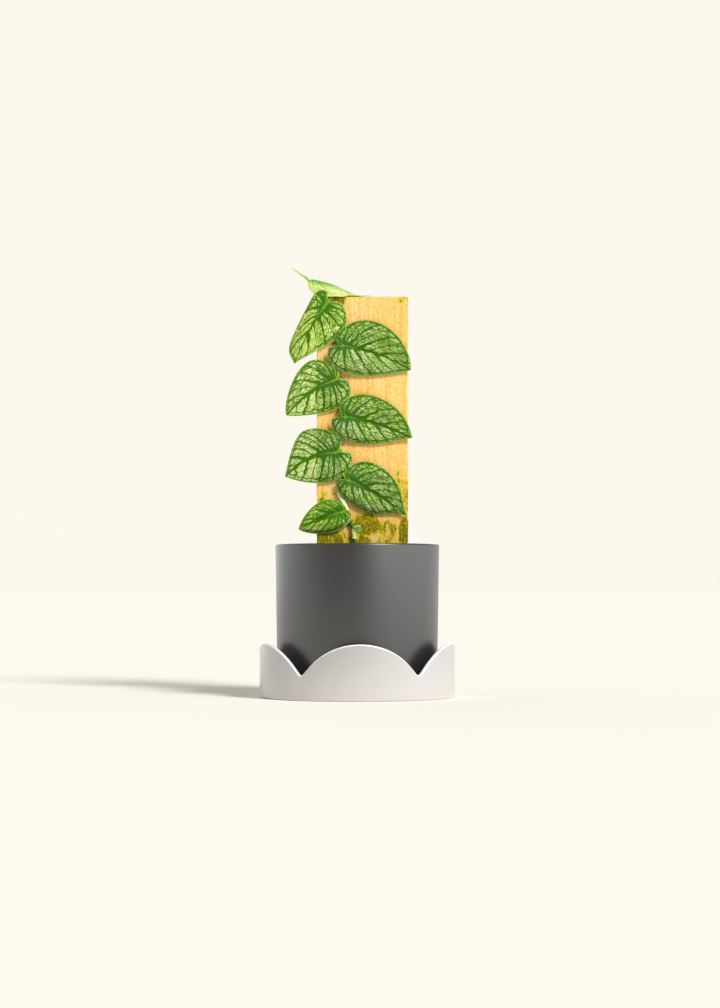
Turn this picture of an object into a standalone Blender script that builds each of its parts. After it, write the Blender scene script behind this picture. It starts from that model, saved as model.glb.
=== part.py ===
"""A shingle plant climbing a flat wooden board, in a grey pot on a scalloped saucer.

The origin is the middle of the saucer's underside. The board faces -Y, +X is to the right of a viewer
in front of it, and +Z is up. Sizes are in millimetres and become metres where a mesh is made.
"""

import math
import random
from dataclasses import dataclass

import bmesh
import bpy
from mathutils import Matrix, Vector, noise

MM = 0.001
GAP = 0.3  # left between two pieces that touch

SAUCER_RADIUS = 94.0
SAUCER_WALL = 3.6
SAUCER_FLOOR = 4.0
SCALLOPS = 5
SCALLOP_PEAK = 53.0
SCALLOP_NOTCH = 24.0
NOTCH_DIP = 3.2  # how much further the rim drops in the notch itself
NOTCH_HALF_WIDTH = 0.05  # of that last drop, in radians
SCALLOP_TURN = math.radians(1.4)  # how far the front scallop is turned from straight ahead
SAUCER_STEPS = 100

POT_TOP = 147.0
POT_RIM_RADIUS = 79.0
POT_BASE_RADIUS = 76.8
POT_WALL = 5.5
POT_FLOOR = 7.0
POT_STEPS = 72
DRAIN_RADIUS = 7.0

SOIL_TOP = 134.0
SOIL_CROWN = 2.5  # how much higher the soil lies in the middle
SOIL_LUMPS = 2.6
SOIL_RINGS = 7
SOIL_STEPS = 48

BOARD_WIDTH = 89.0
BOARD_THICKNESS = 19.0
BOARD_TOP = 387.0
BOARD_BOTTOM = 30.0
BOARD_MIDDLE = 5.0  # the board stands this far right of the pot's axis
BOARD_FRONT = 6.0  # and its front face this far behind it
BOARD_CHAMFER = 0.8
BOARD_RAGGED = 0.45
BOARD_STATIONS = 24

STEM_RADIUS = 1.8
STEM_OFF_BOARD = 2.45  # from the board's face to the stem's middle
ROOT_RADIUS = 0.5

BLADE_THICKNESS = 0.7
BLADE_OFF_BOARD = 7.2  # from the board's face to a leaf's face at its stalk
BLADE_TILT = 0.09  # how much nearer the board the upper half of a leaf lies
VEINS = 6  # side veins in each half of a leaf
STEPS_A_VEIN = 3
ACROSS = (0.0, 0.08, 0.3, 0.52, 0.74, 0.9, 1.0)  # from the midrib to the margin
STALK_RADIUS = 1.1

TOP_STALK = (-43.7, 14.0)  # where the top leaf leaves the end of the stem, seen from above
TOP_LENGTH = 57.5
TOP_RISE = 15.0  # height of its ridge above its margins
TOP_REST = 388.4  # height of its margins

random.seed(7)
for old in list(bpy.data.objects):
    bpy.data.objects.remove(old, do_unlink=True)


def material(name, colour, roughness):
    made = bpy.data.materials.new(name)
    made.use_nodes = True
    shader = made.node_tree.nodes["Principled BSDF"]
    shader.inputs["Base Color"].default_value = (*colour, 1.0)
    shader.inputs["Roughness"].default_value = roughness
    made.diffuse_color = (*colour, 1.0)
    return made


def add_object(name, mesh, surface=None):
    made = bpy.data.objects.new(name, mesh)
    bpy.context.scene.collection.objects.link(made)
    if surface:
        mesh.materials.clear()
        mesh.materials.append(surface)
    return made


def mesh_from(bm, name):
    """Turns a bmesh made in millimetres into a mesh in metres."""
    bmesh.ops.recalc_face_normals(bm, faces=bm.faces)
    bmesh.ops.scale(bm, vec=(MM, MM, MM), verts=bm.verts)
    mesh = bpy.data.meshes.new(name)
    bm.to_mesh(mesh)
    bm.free()
    mesh.shade_smooth()
    mesh.set_sharp_from_angle(angle=math.radians(35))
    return mesh


def evaluated_mesh(obj):
    graph = bpy.context.evaluated_depsgraph_get()
    return bpy.data.meshes.new_from_object(obj.evaluated_get(graph))


def boolean(base, others, operation):
    """Joins the other objects to the base, or cuts them from it, and removes them."""
    group = bpy.data.collections.new("cutters")
    for other in others:
        group.objects.link(other)
    modifier = base.modifiers.new("boolean", "BOOLEAN")
    modifier.operation = operation
    modifier.operand_type = "COLLECTION"
    modifier.collection = group
    modifier.solver = "EXACT"
    kept = base.data.materials[0]
    base.data = evaluated_mesh(base)
    base.data.materials.clear()
    base.data.materials.append(kept)
    base.modifiers.clear()
    for other in others:
        bpy.data.objects.remove(other, do_unlink=True)
    bpy.data.collections.remove(group)


def turned(profile, steps):
    """Turns a closed outline of (radius, height) points about the Z axis."""
    bm = bmesh.new()
    verts = [bm.verts.new((radius, 0, height)) for radius, height in profile]
    edges = [bm.edges.new((a, b)) for a, b in zip(verts, verts[1:] + verts[:1])]
    bmesh.ops.spin(bm, geom=verts + edges, axis=(0, 0, 1), angle=math.tau, steps=steps, use_merge=True)
    bmesh.ops.remove_doubles(bm, verts=bm.verts, dist=1e-4)
    bmesh.ops.dissolve_degenerate(bm, edges=bm.edges, dist=1e-4)
    return bm


def smooth_path(points, steps):
    """Points of a smooth curve through the given ones, which may carry a radius as a fourth value."""
    ends = [points[0], *points, points[-1]]
    path = []
    for before, start, end, after in zip(ends, ends[1:], ends[2:], ends[3:]):
        for step in range(steps):
            t = step / steps
            path.append([
                0.5 * (2 * b + (c - a) * t + (2 * a - 5 * b + 4 * c - d) * t**2 + (3 * b - a - 3 * c + d) * t**3)
                for a, b, c, d in zip(before, start, end, after)
            ])
    return path + [list(points[-1])]


def tube(name, path, resolution, surface=None):
    """A round tube along points of (x, y, z, radius), closed at its ends."""
    curve = bpy.data.curves.new(name, "CURVE")
    curve.dimensions = "3D"
    curve.bevel_depth = MM
    curve.bevel_resolution = resolution
    curve.use_fill_caps = True
    spline = curve.splines.new("POLY")
    spline.points.add(len(path) - 1)
    for point, (x, y, z, radius) in zip(spline.points, path):
        point.co = (x * MM, y * MM, z * MM, 1)
        point.radius = radius
    guide = bpy.data.objects.new(name + "_guide", curve)
    bpy.context.scene.collection.objects.link(guide)
    bm = bmesh.new()
    bm.from_mesh(evaluated_mesh(guide))
    bmesh.ops.remove_doubles(bm, verts=bm.verts, dist=1e-6)
    bmesh.ops.scale(bm, vec=(1 / MM, 1 / MM, 1 / MM), verts=bm.verts)
    bpy.data.objects.remove(guide, do_unlink=True)
    return add_object(name, mesh_from(bm, name), surface)


def bezier(a, b, c, d, t):
    s = 1 - t
    return Vector([s**3 * p + 3 * s * s * t * q + 3 * s * t * t * r + t**3 * w for p, q, r, w in zip(a, b, c, d)])


# The saucer: one glazed piece with an upright wall, cut into five round scallops.


def scallop_height(turn):
    """Height of the saucer's rim, each scallop a round arch between two narrow notches."""
    half = math.pi / SCALLOPS
    off_peak = (turn + half) % (2 * half) - half
    rise = SCALLOP_PEAK - SCALLOP_NOTCH
    chord = SAUCER_RADIUS * half
    arch = (chord**2 + rise**2) / (2 * rise)
    drop = arch - math.sqrt(arch**2 - (SAUCER_RADIUS * off_peak) ** 2)
    from_notch = (half - abs(off_peak)) / NOTCH_HALF_WIDTH
    return SCALLOP_PEAK - drop - NOTCH_DIP * math.exp(-(from_notch**2))


def make_saucer():
    outer = SAUCER_RADIUS
    inner = SAUCER_RADIUS - SAUCER_WALL
    middle = SAUCER_RADIUS - SAUCER_WALL / 2
    rim = 100.0  # heights above this mark are measured from the scalloped rim
    profile = [
        (0, 0), (outer - 2.6, 0), (outer - 0.7, 0.7), (outer, 2.6),
        (outer, rim - 1.5), (outer - 0.6, rim - 0.4), (middle, rim), (inner + 0.6, rim - 0.4), (inner, rim - 1.5),
        (inner, SAUCER_FLOOR + 2.4), (inner - 2.4, SAUCER_FLOOR), (0, SAUCER_FLOOR),
    ]
    bm = turned(profile, SAUCER_STEPS)
    step = math.tau / SCALLOPS
    for vert in bm.verts:
        radius = math.hypot(vert.co.x, vert.co.y)
        turn = math.atan2(vert.co.x, -vert.co.y)
        scallop = round(turn / step)
        across = 2 * turn / step - 2 * scallop
        crowded = 1.35 * across - 0.35 * across**3  # more points near the notches
        local = crowded * step / 2
        if vert.co.z > rim / 2:
            vert.co.z += scallop_height(local) - rim
        angle = scallop * step + local + SCALLOP_TURN
        vert.co.x = radius * math.sin(angle)
        vert.co.y = -radius * math.cos(angle)
    return add_object("saucer", mesh_from(bm, "saucer"), material("glaze", (0.70, 0.66, 0.61), 0.45))


# The pot: a thrown cylinder that narrows a little downwards, with a drain hole.


def pot_radius(height):
    share = (height - SAUCER_FLOOR) / (POT_TOP - SAUCER_FLOOR)
    return POT_BASE_RADIUS + (POT_RIM_RADIUS - POT_BASE_RADIUS) * share


def make_pot():
    base = SAUCER_FLOOR + GAP
    floor = base + POT_FLOOR
    inner_base = pot_radius(floor) - POT_WALL
    profile = [
        (DRAIN_RADIUS, base), (pot_radius(base) - 2.0, base), (pot_radius(base + 1.6), base + 1.6),
        (pot_radius(POT_TOP) - 0.1, POT_TOP - 2.0), (POT_RIM_RADIUS - 0.7, POT_TOP - 0.5),
        (POT_RIM_RADIUS - 2.0, POT_TOP), (POT_RIM_RADIUS - POT_WALL + 1.4, POT_TOP),
        (POT_RIM_RADIUS - POT_WALL, POT_TOP - 1.4), (inner_base, floor + 4.0), (inner_base - 4.0, floor),
        (DRAIN_RADIUS, floor),
    ]
    bm = turned(profile, POT_STEPS)
    return add_object("pot", mesh_from(bm, "pot"), material("dark_clay", (0.13, 0.13, 0.135), 0.55))


# The soil: it fills the pot to just below the rim, and the board and the stem stand in holes in it.


def make_soil(stem_foot):
    bottom = SAUCER_FLOOR + GAP + POT_FLOOR + GAP
    inner_base = pot_radius(bottom) - POT_WALL
    slope = (POT_RIM_RADIUS - POT_BASE_RADIUS) / (POT_TOP - SAUCER_FLOOR)
    side = inner_base + slope * (SOIL_TOP - bottom) - GAP - 0.1
    profile = [(0, bottom), (inner_base - 5.2, bottom), (inner_base - 0.8, bottom + 4.6), (side, SOIL_TOP)]
    profile += [(side * (1 - ring / SOIL_RINGS), SOIL_TOP) for ring in range(1, SOIL_RINGS)]
    profile.append((0, SOIL_TOP))
    bm = turned(profile, SOIL_STEPS)
    for vert in bm.verts:
        if vert.co.z < SOIL_TOP - 1:
            continue
        from_middle = vert.co.xy.length / side
        vert.co.z += SOIL_CROWN * (1 - from_middle**2) + SOIL_LUMPS * noise.noise(vert.co * 0.11)
    soil = add_object("soil", mesh_from(bm, "soil"), material("potting_soil", (0.045, 0.03, 0.02), 0.95))

    bm = bmesh.new()
    bmesh.ops.create_cube(bm, size=1)
    size = Vector((BOARD_WIDTH + 2 * GAP + 1.0, BOARD_THICKNESS + 2 * GAP, 160))
    middle = Vector((BOARD_MIDDLE, BOARD_FRONT + BOARD_THICKNESS / 2, BOARD_BOTTOM - GAP + size.z / 2))
    bmesh.ops.transform(bm, matrix=Matrix.Translation(middle) @ Matrix.Diagonal(size).to_4x4(), verts=bm.verts)
    slot = add_object("board_slot", mesh_from(bm, "board_slot"))
    x, y, z, radius = stem_foot
    hole_radius = radius + 2 * GAP
    hole = tube("stem_hole", [(x, y, z - GAP, hole_radius), (x, y, SOIL_TOP + 12, hole_radius)], 2)
    boolean(soil, [slot, hole], "DIFFERENCE")
    return soil


# The board: a length of sawn timber whose long edges are a little ragged.


def make_board():
    half = BOARD_WIDTH / 2
    depth = BOARD_THICKNESS / 2
    wide = half - BOARD_CHAMFER
    deep = depth - BOARD_CHAMFER
    section = [
        (-half, -deep), (-wide, -depth), (wide, -depth), (half, -deep),
        (half, deep), (wide, depth), (-wide, depth), (-half, deep),
    ]
    bm = bmesh.new()
    rings = []
    for station in range(BOARD_STATIONS + 1):
        z = BOARD_BOTTOM + (BOARD_TOP - BOARD_BOTTOM) * station / BOARD_STATIONS
        ring = []
        for x, y in section:
            ragged = BOARD_RAGGED * (noise.noise(Vector((x * 0.2, y * 0.05, z * 0.09))) - 0.6)
            ring.append(bm.verts.new((x + math.copysign(ragged, x), y, z)))
        rings.append(ring)
    for low, high in zip(rings, rings[1:]):
        for a in range(len(section)):
            b = (a + 1) % len(section)
            bm.faces.new((low[a], low[b], high[b], high[a]))
    bm.faces.new(reversed(rings[0]))
    bm.faces.new(rings[-1])
    board = add_object("board", mesh_from(bm, "board"), material("pine", (0.83, 0.56, 0.27), 0.7))
    board.location = (BOARD_MIDDLE * MM, (BOARD_FRONT + depth) * MM, 0)
    return board


# The leaves: each is one thin arched blade with a heart-shaped base, raised between its veins.


@dataclass
class Margin:
    """One half of a leaf's outline, in millimetres from its stalk."""

    back: float  # how far the lobe reaches behind the stalk
    width: float  # the greatest distance from the midrib
    widest: float  # where that is, as a share of the leaf's length
    lobe: float  # height of the lobe's end, as a share of the width
    shoulder: float  # roundness of the lobe's shoulder
    flat: float  # how far the widest stretch runs on towards the tip
    tip: tuple  # the drawn-in stretch before the tip, along the leaf and across it


@dataclass
class Leaf:
    """A leaf laid out over a flat ground, from the place of its stalk to its tip."""

    name: str
    stalk: tuple
    tip: tuple
    upper: Margin
    lower: Margin
    bow: float  # how far the midrib bends away from the straight line
    node: tuple  # where the stalk leaves the stem
    fold: float = 0.0  # how steeply the blade bends back past the board's edge
    notch: float = 0.35  # how wide the notch between the lobes opens


LEAVES = (
    Leaf("leaf_1", (-14.5, 178.8), (-56.8, 162.0),
         Margin(2.6, 17.0, 0.32, 0.30, 0.45, 0.48, (0.04, 0.24)),
         Margin(4.6, 15.2, 0.26, 0.55, 0.45, 0.48, (0.04, 0.28)), 1.5, (-12.6, 184.0), 0.25),
    Leaf("leaf_2", (-8.3, 209.2), (48.4, 175.0),
         Margin(5.6, 27.2, 0.29, 0.22, 0.70, 0.63, (0.16, 0.17)),
         Margin(8.7, 18.8, 0.19, 0.30, 0.58, 0.75, (0.40, 0.36)), 2.4, (-15.0, 218.2)),
    Leaf("leaf_3", (-21.1, 235.7), (-70.1, 213.1),
         Margin(10.4, 32.4, 0.36, 0.26, 0.35, 0.27, (0.22, 0.50)),
         Margin(13.3, 23.9, 0.21, 0.28, 0.70, 0.28, (0.22, 0.56)), 6.0, (-16.4, 243.5), 0.30),
    Leaf("leaf_4", (-11.6, 270.5), (53.2, 249.9),
         Margin(7.6, 27.7, 0.29, 0.34, 0.35, 0.57, (0.11, 0.49)),
         Margin(11.5, 21.8, 0.08, 0.28, 0.50, 0.44, (0.38, 0.58)), 2.9, (-16.2, 280.5)),
    Leaf("leaf_5", (-23.3, 304.7), (-68.8, 272.3),
         Margin(8.5, 29.9, 0.18, 0.28, 0.40, 0.46, (0.02, 0.24)),
         Margin(11.5, 23.9, 0.18, 0.28, 0.85, 0.20, (0.18, 0.42)), 4.5, (-18.4, 313.5), 0.30),
    Leaf("leaf_6", (-14.5, 339.0), (51.6, 315.1),
         Margin(8.0, 33.0, 0.34, 0.16, 0.47, 0.57, (0.03, 0.35)),
         Margin(11.2, 23.9, 0.11, 0.28, 0.69, 0.46, (0.14, 0.16)), 3.9, (-19.0, 348.5)),
    Leaf("leaf_7", (-31.9, 375.9), (-60.9, 322.6),
         Margin(14.8, 15.3, 0.06, 0.32, 1.00, 0.95, (0.17, 0.88)),
         Margin(11.2, 27.1, 0.14, 0.43, 0.40, 0.38, (0.10, 0.02)), 2.5, (-26.3, 384.0), 0.85, 0.12),
)


def margin_point(margin, length, share):
    """A point of the margin, from the lobe's end at 0 to the leaf's tip at 1."""
    lobe = (-margin.back, margin.lobe * margin.width)
    wide = (margin.widest * length, margin.width)
    reach = wide[0] + margin.back
    along, across = margin.tip
    shoulder = (-margin.back, lobe[1] + margin.shoulder * (margin.width - lobe[1]))
    crown = (wide[0] - 0.55 * reach, margin.width)
    run_on = (wide[0] + margin.flat * (length - wide[0]), margin.width)
    drawn_in = (length * (1 - along), across * margin.width)
    turn = 0.36  # share of the margin taken by the lobe
    if share < turn:
        return bezier(lobe, shoulder, crown, wide, share / turn)
    return bezier(wide, run_on, drawn_in, (length, 0), (share - turn) / (1 - turn))


def vein_point(margin, length, notch, along, across):
    """A point of the blade, on the side vein at a share along the leaf and a share across its half."""
    root = Vector((length * along**1.5, 0))
    end = margin_point(margin, length, along)
    run = end - root
    lift = math.radians(15)
    leave = root + 0.36 * Vector((run.x * math.cos(lift) - run.y * math.sin(lift),
                                  run.x * math.sin(lift) + run.y * math.cos(lift)))
    arrive = end - 0.34 * Vector((run.x * math.cos(lift) + run.y * math.sin(lift),
                                  run.y * math.cos(lift) - run.x * math.sin(lift)))
    in_notch = (1 - along) ** 7
    notch_leave = Vector((-0.45 * margin.back, notch * 0.45 * margin.back))
    notch_arrive = Vector((-margin.back, 0.4 * margin.lobe * margin.width + 0.6 * notch * margin.back))
    leave = leave.lerp(notch_leave, in_notch)
    arrive = arrive.lerp(notch_arrive, in_notch)
    return bezier(root, leave, arrive, end, across)


def relief(along, across, veins):
    """The blade's own relief: a sunk midrib, raised quilting between sunk side veins, a waved margin."""
    midrib = -0.55 * math.exp(-((across / 0.1) ** 2))
    quilt = 0.8 * math.sin(math.pi * veins * along) ** 2 * math.sin(math.pi * across) ** 0.6 if across < 1 else 0
    collecting = -0.2 * math.exp(-(((across - 0.9) / 0.05) ** 2))
    wave = 0.3 * math.sin(math.tau * veins * along + 0.8) * across**4
    towards_tip = min(1.0, 2.2 * (1 - along))
    return (midrib + quilt + collecting + wave) * towards_tip


def blade(name, length, sides, bow, notch, height, veins):
    """Makes the blade over the ground z = 0, from its stalk at the origin to its tip at +X.

    sides maps +1 and -1 to the margin of that half; height gives the lift of a point of the blade."""
    bm = bmesh.new()
    steps = veins * STEPS_A_VEIN
    tip = bm.verts.new((length, 0, height(length, 0, 1, 0)))
    spine = []
    faces = []
    for side in (1, -1):
        rows = []
        for step in range(steps):
            along = step / steps
            row = []
            for rank, across in enumerate(ACROSS):
                if rank == 0 and side < 0:
                    row.append(spine[step])
                    continue
                x, y = vein_point(sides[side], length, notch, along, across)
                y *= side
                if x > 0:
                    y += 4 * bow * x / length * (1 - x / length) * (1 - across) ** 0.7
                vert = bm.verts.new((x, y, height(x, y, along, across)))
                row.append(vert)
                if rank == 0:
                    spine.append(vert)
            rows.append(row)
        for low, high in zip(rows, rows[1:]):
            for a, b, c, d in zip(low, low[1:], high[1:], high):
                if (a.co - c.co).length < (b.co - d.co).length:
                    triangles = ((a, b, c), (a, c, d))
                else:
                    triangles = ((a, b, d), (b, c, d))
                faces += [triangle[:: -side] for triangle in triangles]
        faces += [(a, b, tip)[:: -side] for a, b in zip(rows[-1], rows[-1][1:])]
    for face in faces:
        bm.faces.new(face)
    bm.normal_update()
    under = {}
    for vert in list(bm.verts):
        under[vert] = bm.verts.new(vert.co - vert.normal * BLADE_THICKNESS)
    rim = [(loop.vert, loop.link_loop_next.vert) for edge in bm.edges if edge.is_boundary for loop in edge.link_loops]
    for face in faces:
        bm.faces.new([under[vert] for vert in reversed(face)])
    for a, b in rim:
        bm.faces.new((b, a, under[a]))
        bm.faces.new((b, under[a], under[b]))
    return mesh_from(bm, name)


def make_leaf(leaf, surface):
    """A leaf that lies over the board's front, with its stalk from the stem."""
    run = Vector((leaf.tip[0] - leaf.stalk[0], 0, leaf.tip[1] - leaf.stalk[1]))
    length = run.length
    forward = run.normalized()
    outward = Vector((0, -1, 0))
    sideways = outward.cross(forward)
    upper_side = 1 if forward.x > 0 else -1
    sides = {upper_side: leaf.upper, -upper_side: leaf.lower}
    edge = BOARD_MIDDLE - BOARD_WIDTH / 2 + 1.0

    def height(x, y, along, across):
        up = upper_side * y
        world_x = leaf.stalk[0] + forward.x * x + sideways.x * y
        dome = 1.3 * math.sin(0.8 * math.pi * across) - 1.1 * across**3
        dome *= min(1.0, 1.8 * (1 - along))
        past_edge = max(0.0, edge - world_x)
        folded = leaf.fold * past_edge**2 / (past_edge + 5.0)
        return dome - BLADE_TILT * up + relief(along, across, VEINS) - folded

    frame = Matrix((forward, sideways, outward)).transposed().to_4x4()
    frame.translation = (leaf.stalk[0], BOARD_FRONT - BLADE_OFF_BOARD, leaf.stalk[1])
    made = add_object(leaf.name, blade(leaf.name, length, sides, leaf.bow * upper_side, leaf.notch, height, VEINS),
                      surface)

    to_leaf = frame.inverted()
    beside_stem = BOARD_FRONT - STEM_OFF_BOARD - STEM_RADIUS - STALK_RADIUS - 1.5 * GAP
    start = to_leaf @ Vector((leaf.node[0], beside_stem, leaf.node[1]))
    path = [(*start, STALK_RADIUS), (-3.5, 0, -1.3, STALK_RADIUS), (2.5, 0, -0.9, 0.8 * STALK_RADIUS)]
    stalk = tube(leaf.name + "_stalk", smooth_path(path, 3), 2)
    boolean(made, [stalk], "UNION")
    made.location = frame.translation * MM
    made.rotation_euler = frame.to_euler()
    return made


TOP_MARGIN_FRONT = Margin(4.0, 11.5, 0.30, 0.45, 0.6, 0.45, (0.25, 0.16))
TOP_MARGIN_BACK = Margin(4.0, 11.0, 0.30, 0.45, 0.6, 0.45, (0.25, 0.16))


def make_top_leaf(surface):
    """The youngest open leaf, arched back over the board's top, with its margins resting on it."""

    def height(x, y, along, across):
        share = max(0.0, x) / (0.74 * TOP_LENGTH)
        arch = TOP_RISE * (1 - 0.35 * share - 0.65 * share**2)
        rise = 0.5 * (arch + math.sqrt(arch**2 + 1.4))
        fall = math.sqrt(y**2 + 4.0) - 2.0
        past_board = max(0.0, -y - 7.5)
        return rise * (1 - 0.95 * fall / 9.7) + 0.5 * relief(along, across, VEINS) - 0.55 * past_board

    sides = {1: TOP_MARGIN_BACK, -1: TOP_MARGIN_FRONT}
    made = add_object("leaf_8", blade("leaf_8", TOP_LENGTH, sides, 0.0, 1.1, height, VEINS), surface)
    stalk = tube("leaf_8_stalk", [(0.2, 0, TOP_RISE - 4.0, 0.9), (0.8, 0, TOP_RISE - 2.2, 0.9),
                                  (2.0, 0, TOP_RISE - 1.0, 0.8)], 2)
    boolean(made, [stalk], "UNION")
    made.location = (TOP_STALK[0] * MM, TOP_STALK[1] * MM, TOP_REST * MM)
    return made


def make_rolled_leaf(surface):
    """The newest leaf, still rolled into a thin spear, beyond the end of the stem."""
    route = [(-46.4, 14.0, 397.8, 0.9), (-47.0, 13.9, 400.8, 1.1), (-50.0, 13.4, 404.2, 0.95),
             (-57.0, 12.4, 409.3, 0.75), (-64.3, 11.4, 414.6, 0.35)]
    return tube("rolled_leaf", smooth_path(route, 4), 2, surface)


def make_sprout(surface):
    """A small round leaf low on the board, on its own short stalk."""
    margin = Margin(0.9, 3.1, 0.45, 0.4, 0.7, 0.45, (0.0, 0.8))

    def height(x, y, along, across):
        return 0.5 * math.sin(math.pi * across) - 0.04 * x

    forward = Vector((1, 0, 0.12)).normalized()
    outward = Vector((0, -1, 0))
    frame = Matrix((forward, outward.cross(forward), outward)).transposed().to_4x4()
    frame.translation = (-2.9, BOARD_FRONT - 6.8, 161.8)
    made = add_object("sprout_leaf", blade("sprout_leaf", 7.4, {1: margin, -1: margin}, 0.0, 0.35, height, 2), surface)
    stalk = tube("sprout_stalk", [(-0.9, 0, -1.1, 0.5), (0.2, 0, -0.5, 0.5), (1.2, 0, -0.3, 0.5)], 1)
    boolean(made, [stalk], "UNION")
    made.location = frame.translation * MM
    made.rotation_euler = frame.to_euler()
    return made


# The stem: it climbs the board in a slight zigzag, and grips it with short roots from each joint.

STEM_ROUTE = (  # across the board, off its face, up, and the stem's radius
    (-2.4, 9.5, 112.0, 1.5), (-2.4, 9.5, 138.0, 1.5), (-2.2, 5.5, 148.0, 1.45), (-3.6, 2.5, 159.0, 1.5),
    (-7.2, 2.4, 169.1, 1.7), (-10.5, 2.45, 180.6, 2.0), (-14.0, 2.45, 189.0, 1.95), (-17.7, 2.45, 195.6, 1.5),
    (-17.8, 2.45, 205.0, 1.7), (-15.2, 2.45, 218.0, 1.8), (-16.2, 2.45, 232.0, 1.8), (-18.0, 2.45, 246.0, 1.8),
    (-16.2, 2.45, 262.0, 1.8), (-15.8, 2.45, 278.0, 1.8), (-18.0, 2.45, 294.0, 1.8), (-19.2, 2.45, 311.0, 1.8),
    (-17.8, 2.45, 328.0, 1.8), (-18.8, 2.45, 345.0, 1.8), (-21.6, 2.45, 362.0, 1.75), (-25.2, 2.45, 377.0, 1.7),
    (-29.0, 2.6, 384.0, 1.6), (-36.0, 2.9, 385.6, 1.4), (-41.9, 1.6, 385.8, 1.1), (-43.2, -3.5, 389.5, 1.1),
    (-46.1, -8.0, 396.9, 1.1),
)
JOINTS = (4, 7, 9, 11, 13, 15, 17, 19)
ROOTS_A_JOINT = 3


def stem_points():
    return [(x, BOARD_FRONT - off, z, radius) for x, off, z, radius in STEM_ROUTE]


def make_root(start, side, number):
    """A short root that leaves the stem sideways and runs along the board's face."""
    x, y, z = start
    lie = BOARD_FRONT - GAP - ROOT_RADIUS - 0.05
    reach = random.uniform(6.0, 11.0)
    climb = random.uniform(-5.0, 3.0)
    sway = random.uniform(-1.2, 1.2)
    route = [(x, y, z, 0.6), (x + side * 2.2, lie - 0.5, z + 0.25 * climb, ROOT_RADIUS),
             (x + side * 0.6 * reach, lie, z + 0.6 * climb + sway, ROOT_RADIUS),
             (x + side * reach, lie, z + climb, 0.7 * ROOT_RADIUS)]
    return tube("root_%d" % number, route, 1)


def make_stem(surface):
    points = stem_points()
    stem = tube("vine_stem", smooth_path(points, 2), 2, surface)
    added = []
    for joint in JOINTS:
        x, y, z, radius = points[joint]
        for number in range(ROOTS_A_JOINT):
            side = 1 if number % 2 else -1
            lifted = (x, y, z + random.uniform(-2.5, 2.5))
            added.append(make_root(lifted, side, len(added)))
    foot_x = points[3][0]
    sheath = [(foot_x + 0.5, BOARD_FRONT - 3.6, 152.9, 2.0), (foot_x + 0.2, BOARD_FRONT - 3.9, 158.5, 2.0),
              (foot_x - 0.8, BOARD_FRONT - 3.4, 162.4, 1.2)]
    added.append(tube("sheath", sheath, 2))
    stub = [(-7.2, BOARD_FRONT - 2.4, 170.5, 1.0), (-6.9, BOARD_FRONT - 3.2, 177.6, 0.9)]
    added.append(tube("stub", stub, 1))
    boolean(stem, added, "UNION")
    return stem


leaf_green = material("leaf_green", (0.10, 0.27, 0.06), 0.45)
young_green = material("young_green", (0.50, 0.68, 0.28), 0.5)
stem_green = material("stem_green", (0.30, 0.45, 0.12), 0.5)

make_saucer()
make_pot()
make_soil(stem_points()[0])
make_board()
make_stem(stem_green)
for each_leaf in LEAVES:
    make_leaf(each_leaf, leaf_green)
make_top_leaf(young_green)
make_rolled_leaf(young_green)
make_sprout(leaf_green)
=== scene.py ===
import math
import random
from collections import namedtuple

import bmesh
import bpy
from mathutils import Matrix, Vector, noise


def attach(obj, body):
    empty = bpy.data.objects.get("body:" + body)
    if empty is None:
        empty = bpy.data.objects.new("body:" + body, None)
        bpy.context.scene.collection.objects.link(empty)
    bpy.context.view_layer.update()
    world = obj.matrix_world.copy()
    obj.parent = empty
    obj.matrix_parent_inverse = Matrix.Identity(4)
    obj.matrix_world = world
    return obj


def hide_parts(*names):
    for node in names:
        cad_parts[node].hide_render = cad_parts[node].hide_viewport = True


# A shingle plant climbs a flat board that stands in a dark grey pot, on an off-white saucer with a
# scalloped wall. Sizes are in millimetres, and become metres where a mesh is made. A material reads
# places in metres, and the scale of its noises is per metre.

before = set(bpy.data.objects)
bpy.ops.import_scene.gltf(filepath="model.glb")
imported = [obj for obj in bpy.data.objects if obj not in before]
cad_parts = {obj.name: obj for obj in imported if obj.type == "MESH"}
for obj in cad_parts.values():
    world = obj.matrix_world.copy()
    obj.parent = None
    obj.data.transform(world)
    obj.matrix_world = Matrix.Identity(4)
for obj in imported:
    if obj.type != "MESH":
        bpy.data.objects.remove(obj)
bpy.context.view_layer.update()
random.seed(11)
noise.seed_set(11)  # or noise_vector would differ from run to run
MM = 0.001

# The camera looks level across the soil's height from a little over two metres, with the frame
# shifted up so that the pot's sides stay upright.
PHOTO_WIDTH = 720
PHOTO_HEIGHT = 1008
AXIS_PIXEL = 357.3
EYE_PIXEL = 588.7
EYE_HEIGHT = 104.5
EYE_DISTANCE = 2100
LENS = 77.75


def add_object(name, data):
    made = bpy.data.objects.new(name, data)
    bpy.context.scene.collection.objects.link(made)
    return made


camera_data = bpy.data.cameras.new("camera")
camera_data.lens = LENS
camera_data.shift_x = (PHOTO_WIDTH / 2 - AXIS_PIXEL) / PHOTO_HEIGHT
camera_data.shift_y = (EYE_PIXEL - PHOTO_HEIGHT / 2) / PHOTO_HEIGHT
camera = add_object("camera", camera_data)
camera.location = (0, -EYE_DISTANCE * MM, EYE_HEIGHT * MM)
camera.rotation_euler = (math.radians(90), 0, 0)
bpy.context.scene.camera = camera


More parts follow.
